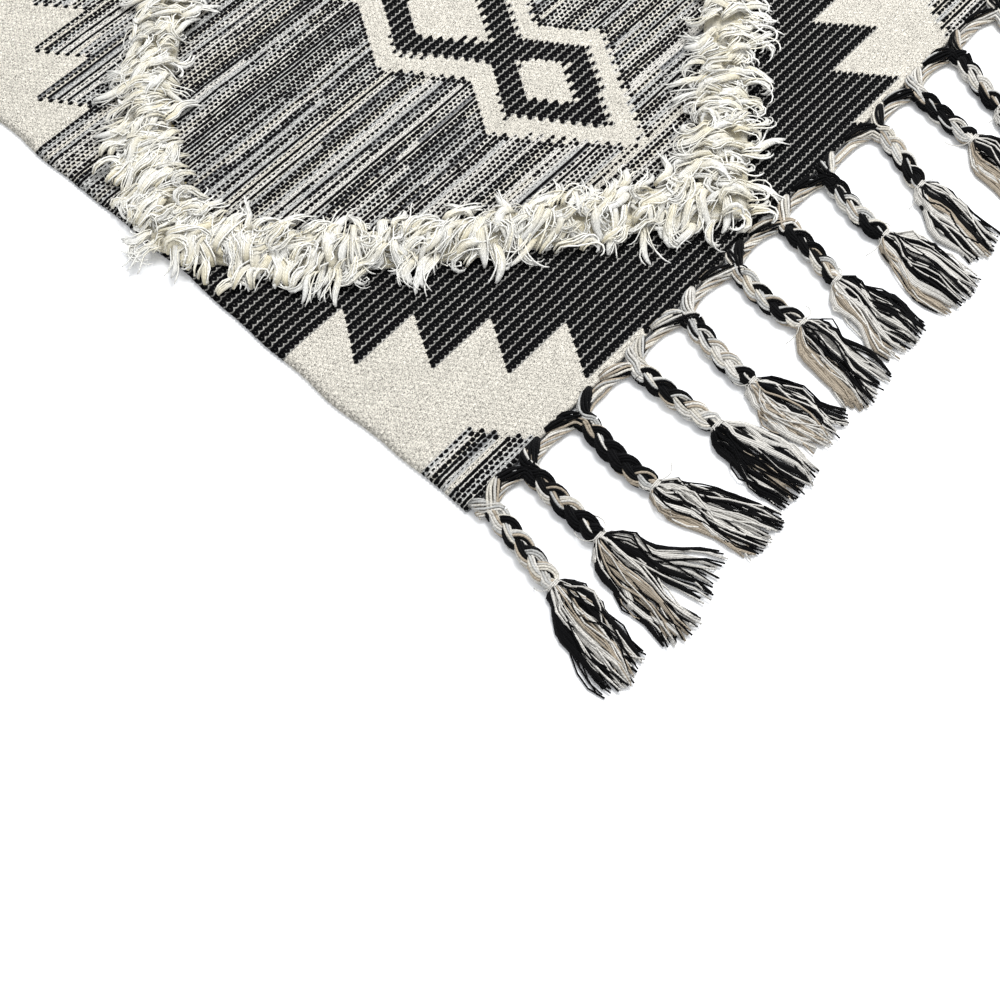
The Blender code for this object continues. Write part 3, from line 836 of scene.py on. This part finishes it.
@dataclass
class PileSide:
    """One side of a pile diamond: knots of long cream yarn over a low lumpy mat. The side bows outwards.

    A knot is one flat lock of yarns that lie together, with a few loose yarns over it.
    """

    name: str
    side_x: int
    side_y: int
    seed: int
    far: bool = False
    band_half_width: float = 0.0300
    band_half_length: float = 0.0315
    base: float = CLOTH_TOP + GAP
    mat_height: float = 0.0060
    mat_half: float = 0.76
    mat_out: float = 0.08
    mat_grid: tuple[int, int] = (72, 11)
    # The mat's lumps: their height, radians along the side and skew; its unevenness; its yarns' UV run
    lumps: tuple = (0.14, 73, 3)
    mat_uneven: float = 0.08
    mat_share: float = 0.92
    yarns_along: float = 420.0
    mat_run_mm: float = 30.0
    # How many knots stand along the side, which of them point back or curl, and the least way to the selvedge
    knots: int = 242
    golden_share: float = 0.618
    back_share: float = 0.42
    corner_widening: float = 0.42
    curled_ahead: float = 0.60
    curled_back: float = 0.40
    selvedge_gap: float = 0.004
    # One knot's yarns: stations along them, sizes, and by how much headings, bends and wobbles differ
    way: tuple = (0.0, 0.14, 0.32, 0.50, 0.66, 0.79, 0.90, 1.0)
    taper: tuple = (0.55, 0.90, 1.0, 1.0, 0.92, 0.75, 0.55, 0.26)
    yarn_length: float = 0.0330
    yarn_radius: float = 0.00060
    loose_yarns: int = 3
    lock_half_width: float = 0.0032
    lock_squash: float = 0.55
    yarns_in_lock: int = 18
    fan_width: float = 0.0030
    fan_angle: float = 0.16
    drift: float = 0.26
    scatter: float = 0.30
    wobble: float = 0.42
    loose_scatter: float = 0.22
    crest: float = 0.0048
    stack: float = 0.0026

    def spot(self, share: Array, place: Array) -> Array:
        """X and Y at a share of the side's length and a place across the band, from -1 inside to 1 outside.

        Both mitred ends hold a straight line across the band, and a point lies at its share of the way from
        one line to the other, plus the side's bow along X.

        Args:
            share: From 0 at the rug's middle line to 1 by the selvedge.
            place: Place across the band.

        Returns:
            Points, with X and Y on the last axis.
        """
        centre = beyond(-DIAMOND_ROW)
        start = np.array([self.side_x * GAP / 2, centre + self.side_y * DIAMOND_HALF_ROWS * ROW_PAIR])
        end = np.array([self.side_x * DIAMOND_HALF_BEADS * BEAD, centre + self.side_y * GAP / 2])
        low = start + place[..., None] * np.array([0.0, self.side_y * self.band_half_length])
        high = end + place[..., None] * np.array([self.side_x * self.band_half_width, 0.0])
        point = low + (high - low) * share[..., None]
        return point + np.stack([self.side_x * diamond_bow(share) * BEAD, 0 * share], axis=-1)

    def mat_rise(self, place: Array) -> Array:
        """Height of the mat over the cloth: a rounded arch, the square root of 1 less the place squared."""
        return self.mat_height * np.sqrt(np.clip(1 - (place / self.mat_half) ** 2, 0, 1))

    def mat(self, rng: np.random.Generator) -> Shape:
        """The knots' own mat under the yarns: the rounded arch across the band, times slow lumps.

        Args:
            rng: The source of random numbers.

        Returns:
            A closed low slab, whose ribs run across it as the yarns do.
        """
        long, wide = self.mat_grid
        share = np.linspace(0, 1, long)[:, None] + np.zeros((1, wide))
        turn = np.linspace(-np.pi / 2, np.pi / 2, wide)[None, :]
        place = self.mat_half * np.sin(turn) + np.zeros((long, 1))
        lump, rate, skew = self.lumps
        lumps = 1 + lump * np.sin(share * rate + skew * place) + rng.normal(0, self.mat_uneven, share.shape)
        z = self.base + self.mat_rise(place) * lumps * self.mat_share
        points = np.concatenate([self.spot(share, place + self.mat_out), z[..., None]], axis=-1).reshape(-1, 3)
        number = np.arange(long * wide).reshape(long, wide)
        under = np.stack([number[:-1, -1], number[:-1, 0], number[1:, 0], number[1:, -1]], axis=-1)
        faces = [cells(number).reshape(-1, 4), under, np.stack([number[0, ::-1], number[-1]])]
        if self.side_x * self.side_y > 0:
            faces = [group[:, ::-1] for group in faces]
        yarn = share.ravel() * self.yarns_along + 2.5 * np.sin(place.ravel() * 4)
        run = np.stack([yarn, place.ravel() * self.mat_run_mm], axis=-1)
        # Painted shade: the mat between the locks lies part way from the shaded root colour to the tip's, at random
        level = rng.uniform(0.3, 0.9, (len(points), 1))
        return Shape(points, faces, [run[group] for group in faces], self.wool(level) * ON_LOCK)

    @staticmethod
    def wool(level: Array) -> Array:
        """Colour of the wool from its root, at level 0, where painted shade makes it darker and yellower, to its tip,
        at level 1.
        """
        return Dye.PILE_ROOT.light + (Dye.PILE_TIP.light - Dye.PILE_ROOT.light) * level

    def courses(self, rng: np.random.Generator) -> tuple[Array, Array, Array]:
        """Centrelines of the locks and loose yarns of every knot.

        Knots stand evenly along the side, and across it each is a golden share of the band on from the last
        one. Towards the selvedge the band widens, and its outer knots there point back over it. They lie
        along the weft: most point to the rug's side and are turned a little outwards, and the rest point
        back. A course's heading is its knot's, plus a bend that grows along it, a slow wobble and a curl
        over its last half; its place is the running sum of steps along that heading. It lies over the mat's
        arch, rises from it as the square root of the way along and falls back to what it lies on.

        Args:
            rng: The source of random numbers.

        Returns:
            Paths, knots by courses by stations by 3, the lock first; the way along at each station; and the
            width of each knot's lock, as a share of the full width.
        """
        way, knots = np.array(self.way), self.knots
        share = (np.arange(knots) + rng.random(knots)) / knots
        back = rng.random(knots) < self.back_share
        spread = 0.90 + 0.08 * smooth(1 - share / 0.45)
        lead = np.where(back, 0.24, -0.20) * smooth(share / 0.25)
        turn = np.arange(knots) * self.golden_share + rng.uniform(-0.12, 0.12, knots)
        place = ((turn % 1.0) * 2 - 1) * spread + lead + 0.10 * smooth(share / 0.2) * (self.side_y < 0)
        corner = smooth((share - 0.60) / 0.15) * smooth((1.0 - share) / 0.06)
        place = place + self.corner_widening * corner * (1 + place)
        back = back | (corner * place > 0.55)
        before, after = np.maximum(share - 0.02, 0), np.minimum(share + 0.02, 1)
        ahead = self.spot(after, 0 * share) - self.spot(before, 0 * share)
        outward = np.stack([ahead[:, 1], -ahead[:, 0]], axis=-1)
        outward *= np.sign(outward[:, :1] * self.side_x) / np.linalg.norm(outward, axis=1, keepdims=True)
        lie = (outward * 0.55 + np.array([self.side_x, 0.0]) * 0.75) * np.where(back, -1.0, 1.0)[:, None]
        drift = np.interp(share, np.linspace(0, 1, 14), rng.normal(0, self.drift, 14))
        heading = np.arctan2(lie[:, 1], lie[:, 0]) + drift + rng.normal(0, self.scatter, knots)
        curled = rng.random(knots) < np.where(back, self.curled_back, self.curled_ahead)
        curl = np.where(curled, rng.uniform(2.2, 5.2, knots), rng.uniform(0, 1.0, knots))
        curl = curl * np.sign(rng.normal(0, 1, knots))
        bend, wobble = rng.normal(0, self.scatter, knots), rng.normal(0, self.wobble, knots)
        phase = rng.uniform(0, 2 * np.pi, knots)

        # The loose yarns of a knot differ a little from its lock in every one of these
        size = (knots, 1 + self.loose_yarns)
        loose = (np.arange(size[1]) > 0) * np.ones(size)
        fan = rng.uniform(-1, 1, size) * loose
        square = np.stack([-np.sin(heading), np.cos(heading)], axis=-1)
        foot = self.spot(share, place)
        side = WIDTH / 2 - self.selvedge_gap
        foot[:, 0] = np.clip(foot[:, 0], -side, side)
        root = foot[:, None] + square[:, None] * (fan * self.fan_width)[..., None]
        tip = np.clip((way - 0.40) / 0.60, 0, 1)
        angle = (heading[:, None] + fan * self.fan_angle + loose * rng.normal(0, 0.08, size))[..., None]
        angle = angle + (bend[:, None] + loose * rng.normal(0, self.loose_scatter, size))[..., None] * way
        sway = (wobble[:, None] + loose * rng.normal(0, self.loose_scatter, size))[..., None]
        angle = angle + sway * np.sin(way * 6.0 + phase[:, None, None])
        angle = angle + (curl[:, None] * (1 + loose * rng.normal(0, 0.25, size)))[..., None] * tip**1.4
        reach = self.yarn_length * rng.uniform(0.72, 1.08, knots)[:, None]
        reach = reach * (1 + loose * rng.uniform(-0.1, 0.14, size))
        middle = (angle[..., 1:] + angle[..., :-1]) / 2
        steps = np.stack([np.cos(middle), np.sin(middle)], axis=-1)
        steps = steps * (np.diff(way) * reach[..., None])[..., None]
        flat = root[:, :, None] + np.concatenate([np.zeros((*size, 1, 2)), np.cumsum(steps, axis=2)], axis=2)
        off = self.across_band(flat)
        inside = smooth((1.2 - np.abs(off)) / 0.6)
        stack = self.stack * rng.random(knots)[:, None, None] * inside
        hump = 2.6 * np.sqrt(way) * (1 - way) * rng.uniform(0.35, 1.2, knots)[:, None, None]
        over = self.lock_half_width * self.lock_squash * (1 + loose * rng.uniform(0.5, 1.1, size))[..., None]
        z = self.base + 0.0002 + self.mat_rise(off) * 0.9 + self.crest * hump + stack + over
        return np.concatenate([flat, z[..., None]], axis=-1), way, np.where(curled, 0.62, 1.0)

    def across_band(self, flat: Array) -> Array:
        """Place across the band of points in X and Y, from about -1 at its inner edge to 1 at the outer."""
        off_row = np.abs(flat[..., 1] - beyond(-DIAMOND_ROW)) / ROW_PAIR
        share = np.clip(1 - off_row / DIAMOND_HALF_ROWS, 0, 1)
        middle = DIAMOND_HALF_BEADS * share + diamond_bow(share)
        over = np.clip(off_row - DIAMOND_HALF_ROWS, 0, None) * ROW_PAIR / self.band_half_length
        half = self.band_half_width * (1.15 - 0.15 * share)
        return (np.abs(flat[..., 0]) / BEAD - middle) * BEAD / half + over

    def build(self) -> bpy.types.Object:
        """Make this side's locks, loose yarns and mat as one piece."""
        rng = np.random.default_rng(self.seed)
        paths, way, width = self.courses(rng)
        # Painted shade: each lock is darker and yellower towards its root, by a random amount for each knot
        painted_light_level = np.clip(0.25 + 0.80 * way + 0.45 * rng.random((self.knots, 1)), 0, 1)
        tint = self.wool(painted_light_level[..., None]) * ON_LOCK
        radii = self.lock_half_width * rng.uniform(0.75, 1.2, (self.knots, 1))
        radii = radii * width[:, None] * np.array(self.taper)
        locks = tubes(paths[:, 0], radii, 6, tint, self.lock_squash, self.yarns_in_lock)
        loose = paths[:, 1:].reshape(-1, len(way), 3)
        # Painted shade on the loose yarns as well, less deep than on the locks
        painted_light_level = np.clip(0.50 + 0.50 * way + 0.40 * rng.random((len(loose), 1)), 0, 1)
        radii = self.yarn_radius * rng.uniform(0.85, 1.2, (len(loose), 1))
        radii = radii * np.append(np.ones(len(way) - 1), 0.7)
        yarns = tubes(loose, radii, 3, self.wool(painted_light_level[..., None]))
        shape = Shape.joined([locks, yarns, self.mat(rng)]).turned(self.far)
        place = f"{ENDS[self.far]}_{self.name}"
        return shape.piece(f"shag_{place}", PILE_YARN, "cream_pile", [f"pile_{place}"])


@dataclass
class Tassel:
    """One tassel: a braid of three strands, a tie of white thread and a loose tail.

    Places across the rug are in beads, and reaches beyond the woven edge in row pairs. Strands says how much
    of each strand's thread is black. The tail's letters are its blocks of thread from low X to high X: black,
    white or tan.
    """

    number: int
    head: float
    middle: float
    tie: float
    tail: float
    fan: float
    tie_reach: float
    tail_reach: float
    strands: tuple[float, float, float]
    blocks: str
    seed: int = 0
    far: bool = False
    split: float = 0.0
    threads_in_strand: int = 10
    thread_radius: float = 0.00100
    core_radius: float = 0.0020
    strand_radius: float = 0.0024
    bundle_twist: float = 0.058
    sway: float = 0.0048
    lift: float = 0.0014
    braid_height: float = 0.0049
    lobe_length: float = 0.0405
    head_depth: float = 0.0176
    arm_spread: float = 0.0205
    arm_depth: float = 0.0165
    selvedge_gap: float = 0.0045
    neck_half: float = 0.0046
    neck_height: float = 0.0042
    tie_turns: float = 2.3
    tie_radius: float = 0.00055
    tie_end_radius: float = 0.00042
    tail_stations: int = 10
    tail_locks: int = 14
    tail_threads: int = 56
    tail_radius: float = 0.00068
    lock_half_width: float = 0.0027
    lock_half_height: float = 0.0015
    shoulder_reach: float = 0.0065
    flare: float = 0.0180
    # Taper of a lock along the tail, the tail's shares of its length, and its height at each of them
    lock_taper: tuple = (0.45, 0.85, 1.0, 1.0, 0.95, 0.9, 0.85, 0.75, 0.6, 0.3)
    height_ways: tuple = (0, 0.13, 0.30, 0.6, 1.0)
    heights: tuple = (0.0064, 0.0096, 0.0092, 0.0066, 0.0042)

    def centre_x(self, y: Array) -> Array:
        """X of the braid's middle at some Y: a parabola through the head, the middle and the tie."""
        start, tie_y = WOVEN_EDGE - self.head_depth, beyond(self.tie_reach)
        share = np.clip((start - y) / (start - tie_y), 0, 1)
        sides = self.head * (1 - share) * (1 - 2 * share) + self.tie * share * (2 * share - 1)
        return across(sides + self.middle * 4 * share * (1 - share))

    def strand_threads(self, low: float, high: float, stations: int) -> Shape:
        """Threads of the three strands between two depths beyond the woven edge.

        A strand's middle swings across the braid as a sine of the way along it, and up and down as the sine
        of twice that, each strand a third of a turn after the last. Above the head the swing fades out, and
        the strand leans out to where its arm leaves the cloth. The threads lie round the strand's middle at
        even angles, turned slowly along it.

        Args:
            low: First depth beyond the woven edge.
            high: Last depth, or more than the tie's to end at the tie.
            stations: Points along each thread.

        Returns:
            The threads as one shape.
        """
        tie_depth = self.tie_reach * ROW_PAIR + 0.001
        depth = np.linspace(low, min(high, tie_depth), stations)
        y = WOVEN_EDGE - depth
        turn = 2 * np.pi * (depth[None, :] / self.lobe_length + np.arange(3)[:, None] / 3) + self.number
        full = smooth((depth - 0.006) / 0.011)
        pinch = 1 - 0.55 * smooth((depth - tie_depth + 0.006) / 0.006)
        lean = np.array([-1.0, 1.0, 0.45 * (-1) ** self.number])[:, None] * self.arm_spread
        head, side = across(self.head), WIDTH / 2 - self.selvedge_gap
        foot = np.clip(head + lean, -side, side) - head
        arm = foot * np.clip(1 - (depth + 0.001) / self.arm_depth, 0, 1.1) ** 1.9
        x = self.centre_x(y)[None, :] + self.sway * full * pinch * np.sin(turn) + arm
        z = self.braid_height + self.lift * full * pinch * np.sin(2 * turn) + 0.0008 * (1 - full)
        z = z - 0.0034 * smooth(0.15 - depth / 0.004)
        middle = np.stack([x, y[None, :] + 0 * x, z], axis=-1)
        tangent = unit(np.gradient(middle, axis=1))
        aside = unit(np.cross(tangent, np.array([0.0, 0.0, 1.0])))
        up = np.cross(aside, tangent)
        # Thread 0 is the strand's core, and the others lie round it
        thread, outer_threads = np.arange(self.threads_in_strand), self.threads_in_strand - 1
        outer = (thread > 0)[:, None]
        around = 2 * np.pi * thread[:, None] / outer_threads + depth[None, :] * 2 * np.pi / self.bundle_twist
        around = around + 2.1 * self.number
        sunk = 1 - 0.70 * smooth(0.55 - depth / 0.005)
        off = self.strand_radius * outer * (pinch**0.6 * sunk * (1.45 - 0.45 * full))[None, :]
        sideways = (off * np.cos(around))[None, ..., None] * aside[:, None] * 1.12
        upwards = (off * np.sin(around))[None, ..., None] * up[:, None] * 0.92
        paths = (middle[:, None] + sideways + upwards).reshape(-1, stations, 3)
        thick = np.where(outer, self.thread_radius, self.core_radius * (pinch * sunk)[None, :])
        radii = np.tile(thick, (3, 1))
        paths[..., 2] = np.maximum(paths[..., 2], radii * 1.02)
        share = np.array(self.strands)[:, None]
        dark = np.where(thread == 0, share > 0.5, thread <= np.round(share * outer_threads)).ravel()
        rng = np.random.default_rng(self.seed + 500)
        level = rng.uniform(0.84, 1.04, len(dark))
        pale = np.stack([dye.light for dye in (Dye.WHITE, Dye.CREAM, Dye.WHITE, Dye.GREY_WHITE, Dye.NATURAL)])
        colour = np.where(dark[:, None], Dye.BLACK.light, pale[rng.integers(0, len(pale), len(dark))])
        colour[:, :3] *= level[:, None]
        return tubes(paths, radii, 4, colour)

    def tie_wraps(self) -> Shape:
        """White thread wound on the neck, an ellipse carried along the braid, and its two loose ends."""
        neck_x, neck_y = across(self.tie), beyond(self.tie_reach)
        way = np.linspace(0, 1, 44)
        angle = 2 * np.pi * self.tie_turns * way
        x = neck_x + (self.neck_half + 0.0006) * np.cos(angle)
        y = neck_y + 0.0008 - 0.0026 * way + 0.0002 * np.sin(angle * 3)
        z = np.maximum(self.neck_height + 0.0036 * np.sin(angle), 0.0006)
        wraps = tubes(np.stack([x, y, z], axis=-1)[None], self.tie_radius, 5, Dye.WHITE.light[None])
        rng = np.random.default_rng(self.seed + 900)
        way = np.linspace(0, 1, 9)[None, :]
        aim = rng.uniform(-1, 1, (2, 1)) + np.array([[0.9], [-0.9]])
        reach = rng.uniform(0.010, 0.020, (2, 1))
        turning = aim + 0.8 * way * aim
        x = neck_x + np.sign(aim) * self.neck_half * 0.8 + reach * way * np.sin(turning)
        y = neck_y - reach * way * np.cos(turning)
        ends = np.stack([x, y, 0.0074 - 0.0062 * way**1.5 + 0 * aim], axis=-1)
        return Shape.joined([wraps, tubes(ends, self.tie_end_radius, 3, np.stack([Dye.WHITE.light] * 2))])

    def tail_courses(self, rng: np.random.Generator, place: Array, layer: Array, half: float) -> Array:
        """Centrelines of threads or locks from the tie to the tail's end.

        Each is a cubic curve from its place in the neck, through a shoulder where the tail has opened, to its
        place in the fan, plus a wave across it that neighbours share. Where a tail is split, the threads on
        its high side turn away like a brush over their last half. They lie in layers, and a layer's height
        falls from the shoulder to the end.

        Args:
            rng: The source of random numbers.
            place: Each one's place across the tail, from -1 to 1.
            layer: Each one's layer, from 0 at the floor to 1 on top.
            half: Half of each one's height.

        Returns:
            Paths, threads by ten stations by 3.
        """
        count = len(place)
        tie_x, tie_y = across(self.tie), beyond(self.tie_reach) - 0.0004
        way = np.linspace(0, 1, self.tail_stations)[None, :]
        end_place = self.tail + place * self.fan * rng.uniform(0.88, 1.08, count)
        rounding = 0.8 * place**2 + rng.uniform(0, 1.7, count) * (1.0 - 0.3 * layer)
        start = np.stack([tie_x + place * self.neck_half * 0.8, tie_y + 0 * place], axis=-1)
        shoulder_x = tie_x + 0.10 * (across(self.tail) - tie_x) + place * self.flare
        first = np.stack([shoulder_x, tie_y - self.shoulder_reach + 0 * place], axis=-1)
        last = np.stack([across(end_place), beyond(self.tail_reach - rounding)], axis=-1)
        second = first + (last - first) * 0.48 + rng.normal(0, 0.0014, (count, 2))
        shares = ((1 - way) ** 3, 3 * way * (1 - way) ** 2, 3 * way**2 * (1 - way), way**3)
        flat = sum(p[:, None] * share[..., None] for p, share in zip((start, first, second, last), shares))
        across_place = place[:, None]
        shared = 0.0020 * np.sin(way * 8.0 + 3.0 * across_place + self.number * 1.7)
        shared = shared + 0.0011 * np.sin(way * 14.0 + 5.0 * across_place + self.number * 2.9)
        wave = rng.normal(0, 0.0022, (count, 1))
        wave = wave * np.sin(way * rng.uniform(6, 13, (count, 1)) + rng.uniform(0, 6, (count, 1)))
        flat[..., 0] += (shared + wave) * smooth(way * 3)
        brushed = self.split * smooth((across_place - 0.05) / 0.2) * (0.35 + 0.65 * across_place)
        brushed = brushed * smooth((way - 0.48) / 0.52)
        flat = flat + brushed[..., None] * np.array([BEAD, 0.45 * ROW_PAIR])
        heap = np.interp(way, self.height_ways, self.heights) * np.sqrt(1 - 0.72 * across_place**2)
        z = half + 0.0002 + np.maximum(heap - 2 * half, 0.0) * layer[:, None]
        neck = self.neck_height + 0.0024 * (layer[:, None] * 2 - 1)
        return np.concatenate([flat, (z + (neck - z) * smooth(1 - way / 0.10))[..., None]], axis=-1)

    def tail_shape(self) -> Shape:
        """The loose tail: flat locks of threads that lie together, and single threads over and between them.

        Returns:
            The tail as one shape.
        """
        rng = np.random.default_rng(self.seed)
        dyes = {"K": Dye.BLACK.light, "W": Dye.WHITE.light, "T": Dye.NATURAL.light}
        table = np.stack([dyes[letter] for letter in self.blocks])

        def dyed(place: Array, stray: float, alpha: float) -> Array:
            """Colour of each place across the tail, from the blocks, with some strays into the next block."""
            spot = (place + rng.normal(0, stray, len(place)) + 1) / 2 * len(self.blocks)
            level = rng.uniform(0.82, 1.05, len(place))
            tint = table[np.clip(spot.astype(int), 0, len(self.blocks) - 1)]
            return tint * np.stack([level, level, level, np.full(len(level), alpha)], axis=-1)

        place = (np.arange(self.tail_locks) + 0.5) / self.tail_locks * 1.9 - 0.95
        layer = rng.uniform(0.1, 0.75, self.tail_locks)
        locks = self.tail_courses(rng, place, layer, self.lock_half_height)
        radii = self.lock_half_width * np.array(self.lock_taper) * rng.uniform(0.85, 1.15, (self.tail_locks, 1))
        lock_shape = tubes(locks, radii, 6, dyed(place, 0.10, 0.0), 0.6, 11)
        place = rng.uniform(-1, 1, self.tail_threads)
        layer = rng.uniform(0.25, 1.0, self.tail_threads)
        threads = self.tail_courses(rng, place, layer, self.tail_radius)
        radii = self.tail_radius * rng.uniform(0.85, 1.15, (self.tail_threads, 1))
        return Shape.joined([lock_shape, tubes(threads, radii, 3, dyed(place, 0.30, 1.0))])

    def build(self) -> bpy.types.Object:
        """Make the braid below the heading, the tie and the tail as one piece."""
        parts = [self.strand_threads(self.head_depth, 1.0, 24), self.tie_wraps(), self.tail_shape()]
        place = f"tassel_{ENDS[self.far]}_{self.number:02d}"
        shape = Shape.joined(parts).turned(self.far)
        return shape.piece(f"braided_{place}", BRAID_YARN, "braided_warp", [place])


@dataclass
class KnottedHeading:
    """The warp ends along one woven edge: loose natural threads in shallow arches, and the tassels' arms."""

    tassels: list[Tassel]
    far: bool = False
    threads: int = 10
    thread_radius: float = 0.00085
    twist_length: float = 0.055
    stations: int = 150
    seed: int = 71
    cord_gap: float = 0.0048
    arch_depth: float = 0.0052
    arch_half: float = 0.011
    cord_half_width: float = 0.0030
    cord_half_height: float = 0.0021
    cord_height: float = 0.0034

    def cord(self) -> Shape:
        """The arches: threads round a middle line that dips away from the cloth at each tassel's head.

        The threads turn slowly about it, each with a drift of its own, so that they lie loose side by side.

        Returns:
            The threads as one shape.
        """
        rng = np.random.default_rng(self.seed + self.far)
        x = np.linspace(-WIDTH / 2 + 0.0015, WIDTH / 2 - 0.0015, self.stations)
        heads = across(np.array([tassel.head for tassel in self.tassels]))
        nearest = np.abs(heads[:, None] - x[None, :]).min(axis=0)
        dip = self.arch_depth * np.exp(-((nearest / self.arch_half) ** 2))
        middle_y = WOVEN_EDGE - GAP - self.cord_gap - dip

        def drift(size: float, count: int) -> Array:
            """A slow random drift along the heading, straight between random values at so many places."""
            return np.interp(x, np.linspace(x[0], x[-1], count), rng.normal(0, size, count))

        phase = 2 * np.pi * (x / self.twist_length) + drift(0.9, 34)
        thread = np.arange(self.threads)[:, None]
        own = np.stack([drift(0.35, 34) for _ in range(self.threads)])
        angle = phase[None, :] + 2 * np.pi * thread / self.threads + own
        size = 1 + drift(0.16, 60)
        y = middle_y[None, :] + self.cord_half_width * size * np.cos(angle)
        z = self.cord_height + self.cord_half_height * size * np.sin(angle)
        paths = np.stack([x[None, :] + 0 * y, y, np.maximum(z, self.thread_radius)], axis=-1)
        dyes = [Dye.NATURAL, Dye.CREAM, Dye.WHITE, Dye.NATURAL, Dye.GREY_WHITE]
        tint = np.stack([dyes[i % len(dyes)].light for i in range(self.threads)])
        return tubes(paths, self.thread_radius, 4, tint)

    def build(self) -> bpy.types.Object:
        """Make the cord and the arms of all its tassels as one piece."""
        arms = [tassel.strand_threads(-0.0016, tassel.head_depth, 9) for tassel in self.tassels]
        shape = Shape.joined([self.cord(), *arms]).turned(self.far)
        end = ENDS[self.far]
        return shape.piece(f"knotted_heading_{end}", HEADING_YARN, "knotted_warp", [f"heading_{end}"])


TASSEL_ROWS = (
    (2.3, 0.9, -0.4, -3.4, 4.2, 11.0, 22.3, (0.15, 0.6, 0.2), "KKWWTKWK"),
    (10.6, 9.9, 9.5, 9.0, 6.4, 10.9, 23.3, (0.85, 0.8, 0.5), "KWTKWKKWKW"),
    (22.2, 20.8, 20.9, 25.3, 4.2, 11.3, 23.0, (0.9, 0.7, 0.8), "TWKWWKK"),
    (34.4, 34.1, 34.6, 35.0, 4.8, 11.5, 22.2, (0.6, 0.3, 0.35), "KWTKKKWKW"),
    (46.3, 44.4, 43.7, 44.8, 4.4, 11.0, 21.0, (0.35, 0.15, 0.5), "WTWWTKKWK"),
    (58.3, 56.8, 57.0, 54.6, 4.8, 10.5, 21.0, (0.35, 0.7, 0.2), "TTWKKWKKWK"),
    (70.1, 68.7, 66.9, 65.2, 5.2, 9.9, 20.2, (0.8, 0.5, 0.4), "WTWKWKKK"),
    (81.8, 79.6, 78.7, 77.4, 5.6, 10.2, 21.0, (0.8, 0.4, 0.5), "TWKKKWKW"),
    (95.2, 93.2, 90.3, 87.4, 3.9, 9.2, 19.6, (0.5, 0.3, 0.4), "WKWTKKWK"),
    (105.9, 104.6, 103.8, 101.6, 5.4, 9.8, 21.0, (0.9, 0.5, 0.4), "TWKKWKK"),
    (117.0, 114.4, 112.2, 111.4, 3.9, 9.4, 20.6, (0.6, 0.4, 0.7), "WKKTWK"),
    (129.6, 127.4, 125.8, 123.8, 5.2, 9.8, 21.2, (0.5, 0.5, 0.3), "TKWKWTK"),
)


@dataclass
class Studio:
    """A plain pale floor, soft lights and the camera."""

    lens_mm: float = 49.451
    place: tuple[float, float, float] = (-0.54516, -0.93278, 0.79245)
    aim: tuple[float, float, float] = (-0.27920, -0.63443, 0.0)
    roll_deg: float = -5.87
    floor_half: float = 6.0
    floor_drop: float = 0.0001
    light_place: tuple[float, float, float] = (1.1, -0.2, 2.3)
    light_aim: tuple[float, float, float] = (0.0, -0.2, 0.0)
    light_size: float = 1.3
    light_watts: float = 72.0
    surround: Colour = (0.97, 0.98, 1.0, 1.0)
    surround_strength: float = 0.86

    @staticmethod
    def stand(made: bpy.types.Object, place: tuple, aim: tuple, roll_deg: float = 0.0) -> None:
        """Stand a camera or a light at a place, turned to its aim and rolled about its own axis."""
        made.location = place
        made.rotation_mode = "QUATERNION"
        roll = Quaternion((0, 0, 1), math.radians(roll_deg))
        made.rotation_quaternion = (Vector(aim) - Vector(place)).to_track_quat("-Z", "Y") @ roll

    def camera(self) -> None:
        """Make the camera at the photograph's place, aimed at a point on the floor and rolled."""
        lens = bpy.data.cameras.new("camera")
        lens.lens, lens.sensor_width = self.lens_mm, 36.0
        lens.clip_start, lens.clip_end = 0.05, 50
        made = put("camera", lens)
        self.stand(made, self.place, self.aim, self.roll_deg)
        bpy.context.scene.camera = made

    def floor(self) -> None:
        """Make the floor: a wide flat sheet of matt white, a hair under the rug."""
        mesh = bpy.data.meshes.new("floor")
        signs = ((-1, -1), (1, -1), (1, 1), (-1, 1))
        corners = [(x * self.floor_half, y * self.floor_half, -self.floor_drop) for x, y in signs]
        mesh.from_pydata(corners, [], [(0, 1, 2, 3)])
        made = put("floor", mesh)
        matt, tree, shader = new_material("matt_white_floor")
        fill(tree, shader, {"Base Color": linear("fafbfc"), "Roughness": 1.0, "Specular IOR Level": 0.0})
        mesh.materials.append(matt)
        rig.stage(made)

    def lights(self) -> None:
        """Make one large soft light above and to the side, and an even pale surround."""
        light = bpy.data.lights.new("softbox", "AREA")
        light.shape, light.size, light.energy = "SQUARE", self.light_size, self.light_watts
        self.stand(put("softbox", light), self.light_place, self.light_aim)
        world = bpy.data.worlds.new("surround")
        world.use_nodes = True
        back = world.node_tree.nodes["Background"]
        fill(world.node_tree, back, {"Color": self.surround, "Strength": self.surround_strength})
        bpy.context.scene.world = world
        bpy.context.scene.view_settings.view_transform = "Standard"

    def build(self) -> None:
        """Make the whole studio."""
        self.camera()
        self.floor()
        self.lights()


def main() -> None:
    """Build the studio and every piece of the rug in order."""
    logging.basicConfig(level=logging.INFO, format="%(name)s: %(message)s")
    Studio().build()
    cloth = WovenField().build()
    sides = (("low_left", -1, -1), ("low_right", 1, -1), ("high_left", -1, 1), ("high_right", 1, 1))
    trims = []
    for far in (False, True):
        for index, (name, side_x, side_y) in enumerate(sides):
            trims.append(PileSide(name, side_x, side_y, seed=100 + index + 10 * far, far=far).build())
        tassels = [Tassel(i + 1, *row, seed=200 + i + 50 * far, far=far) for i, row in enumerate(TASSEL_ROWS)]
        tassels[1].split = 4.0
        trims.append(KnottedHeading(tassels, far=far).build())
        trims.extend(tassel.build() for tassel in tassels)
    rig.sheet(cloth, flat=(WIDTH, LENGTH), held="laid", rests_on=["floor"], with_pieces=trims)
    visual_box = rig.bounds()
    sizes = {"cad": [list(corner) for corner in CAD_BOX], "visual": [list(corner) for corner in visual_box]}
    with open("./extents.json", "w") as out:
        json.dump(sizes, out)
    LOG.info("sizes: %s", sizes)


if __name__ == "__main__":
    main()
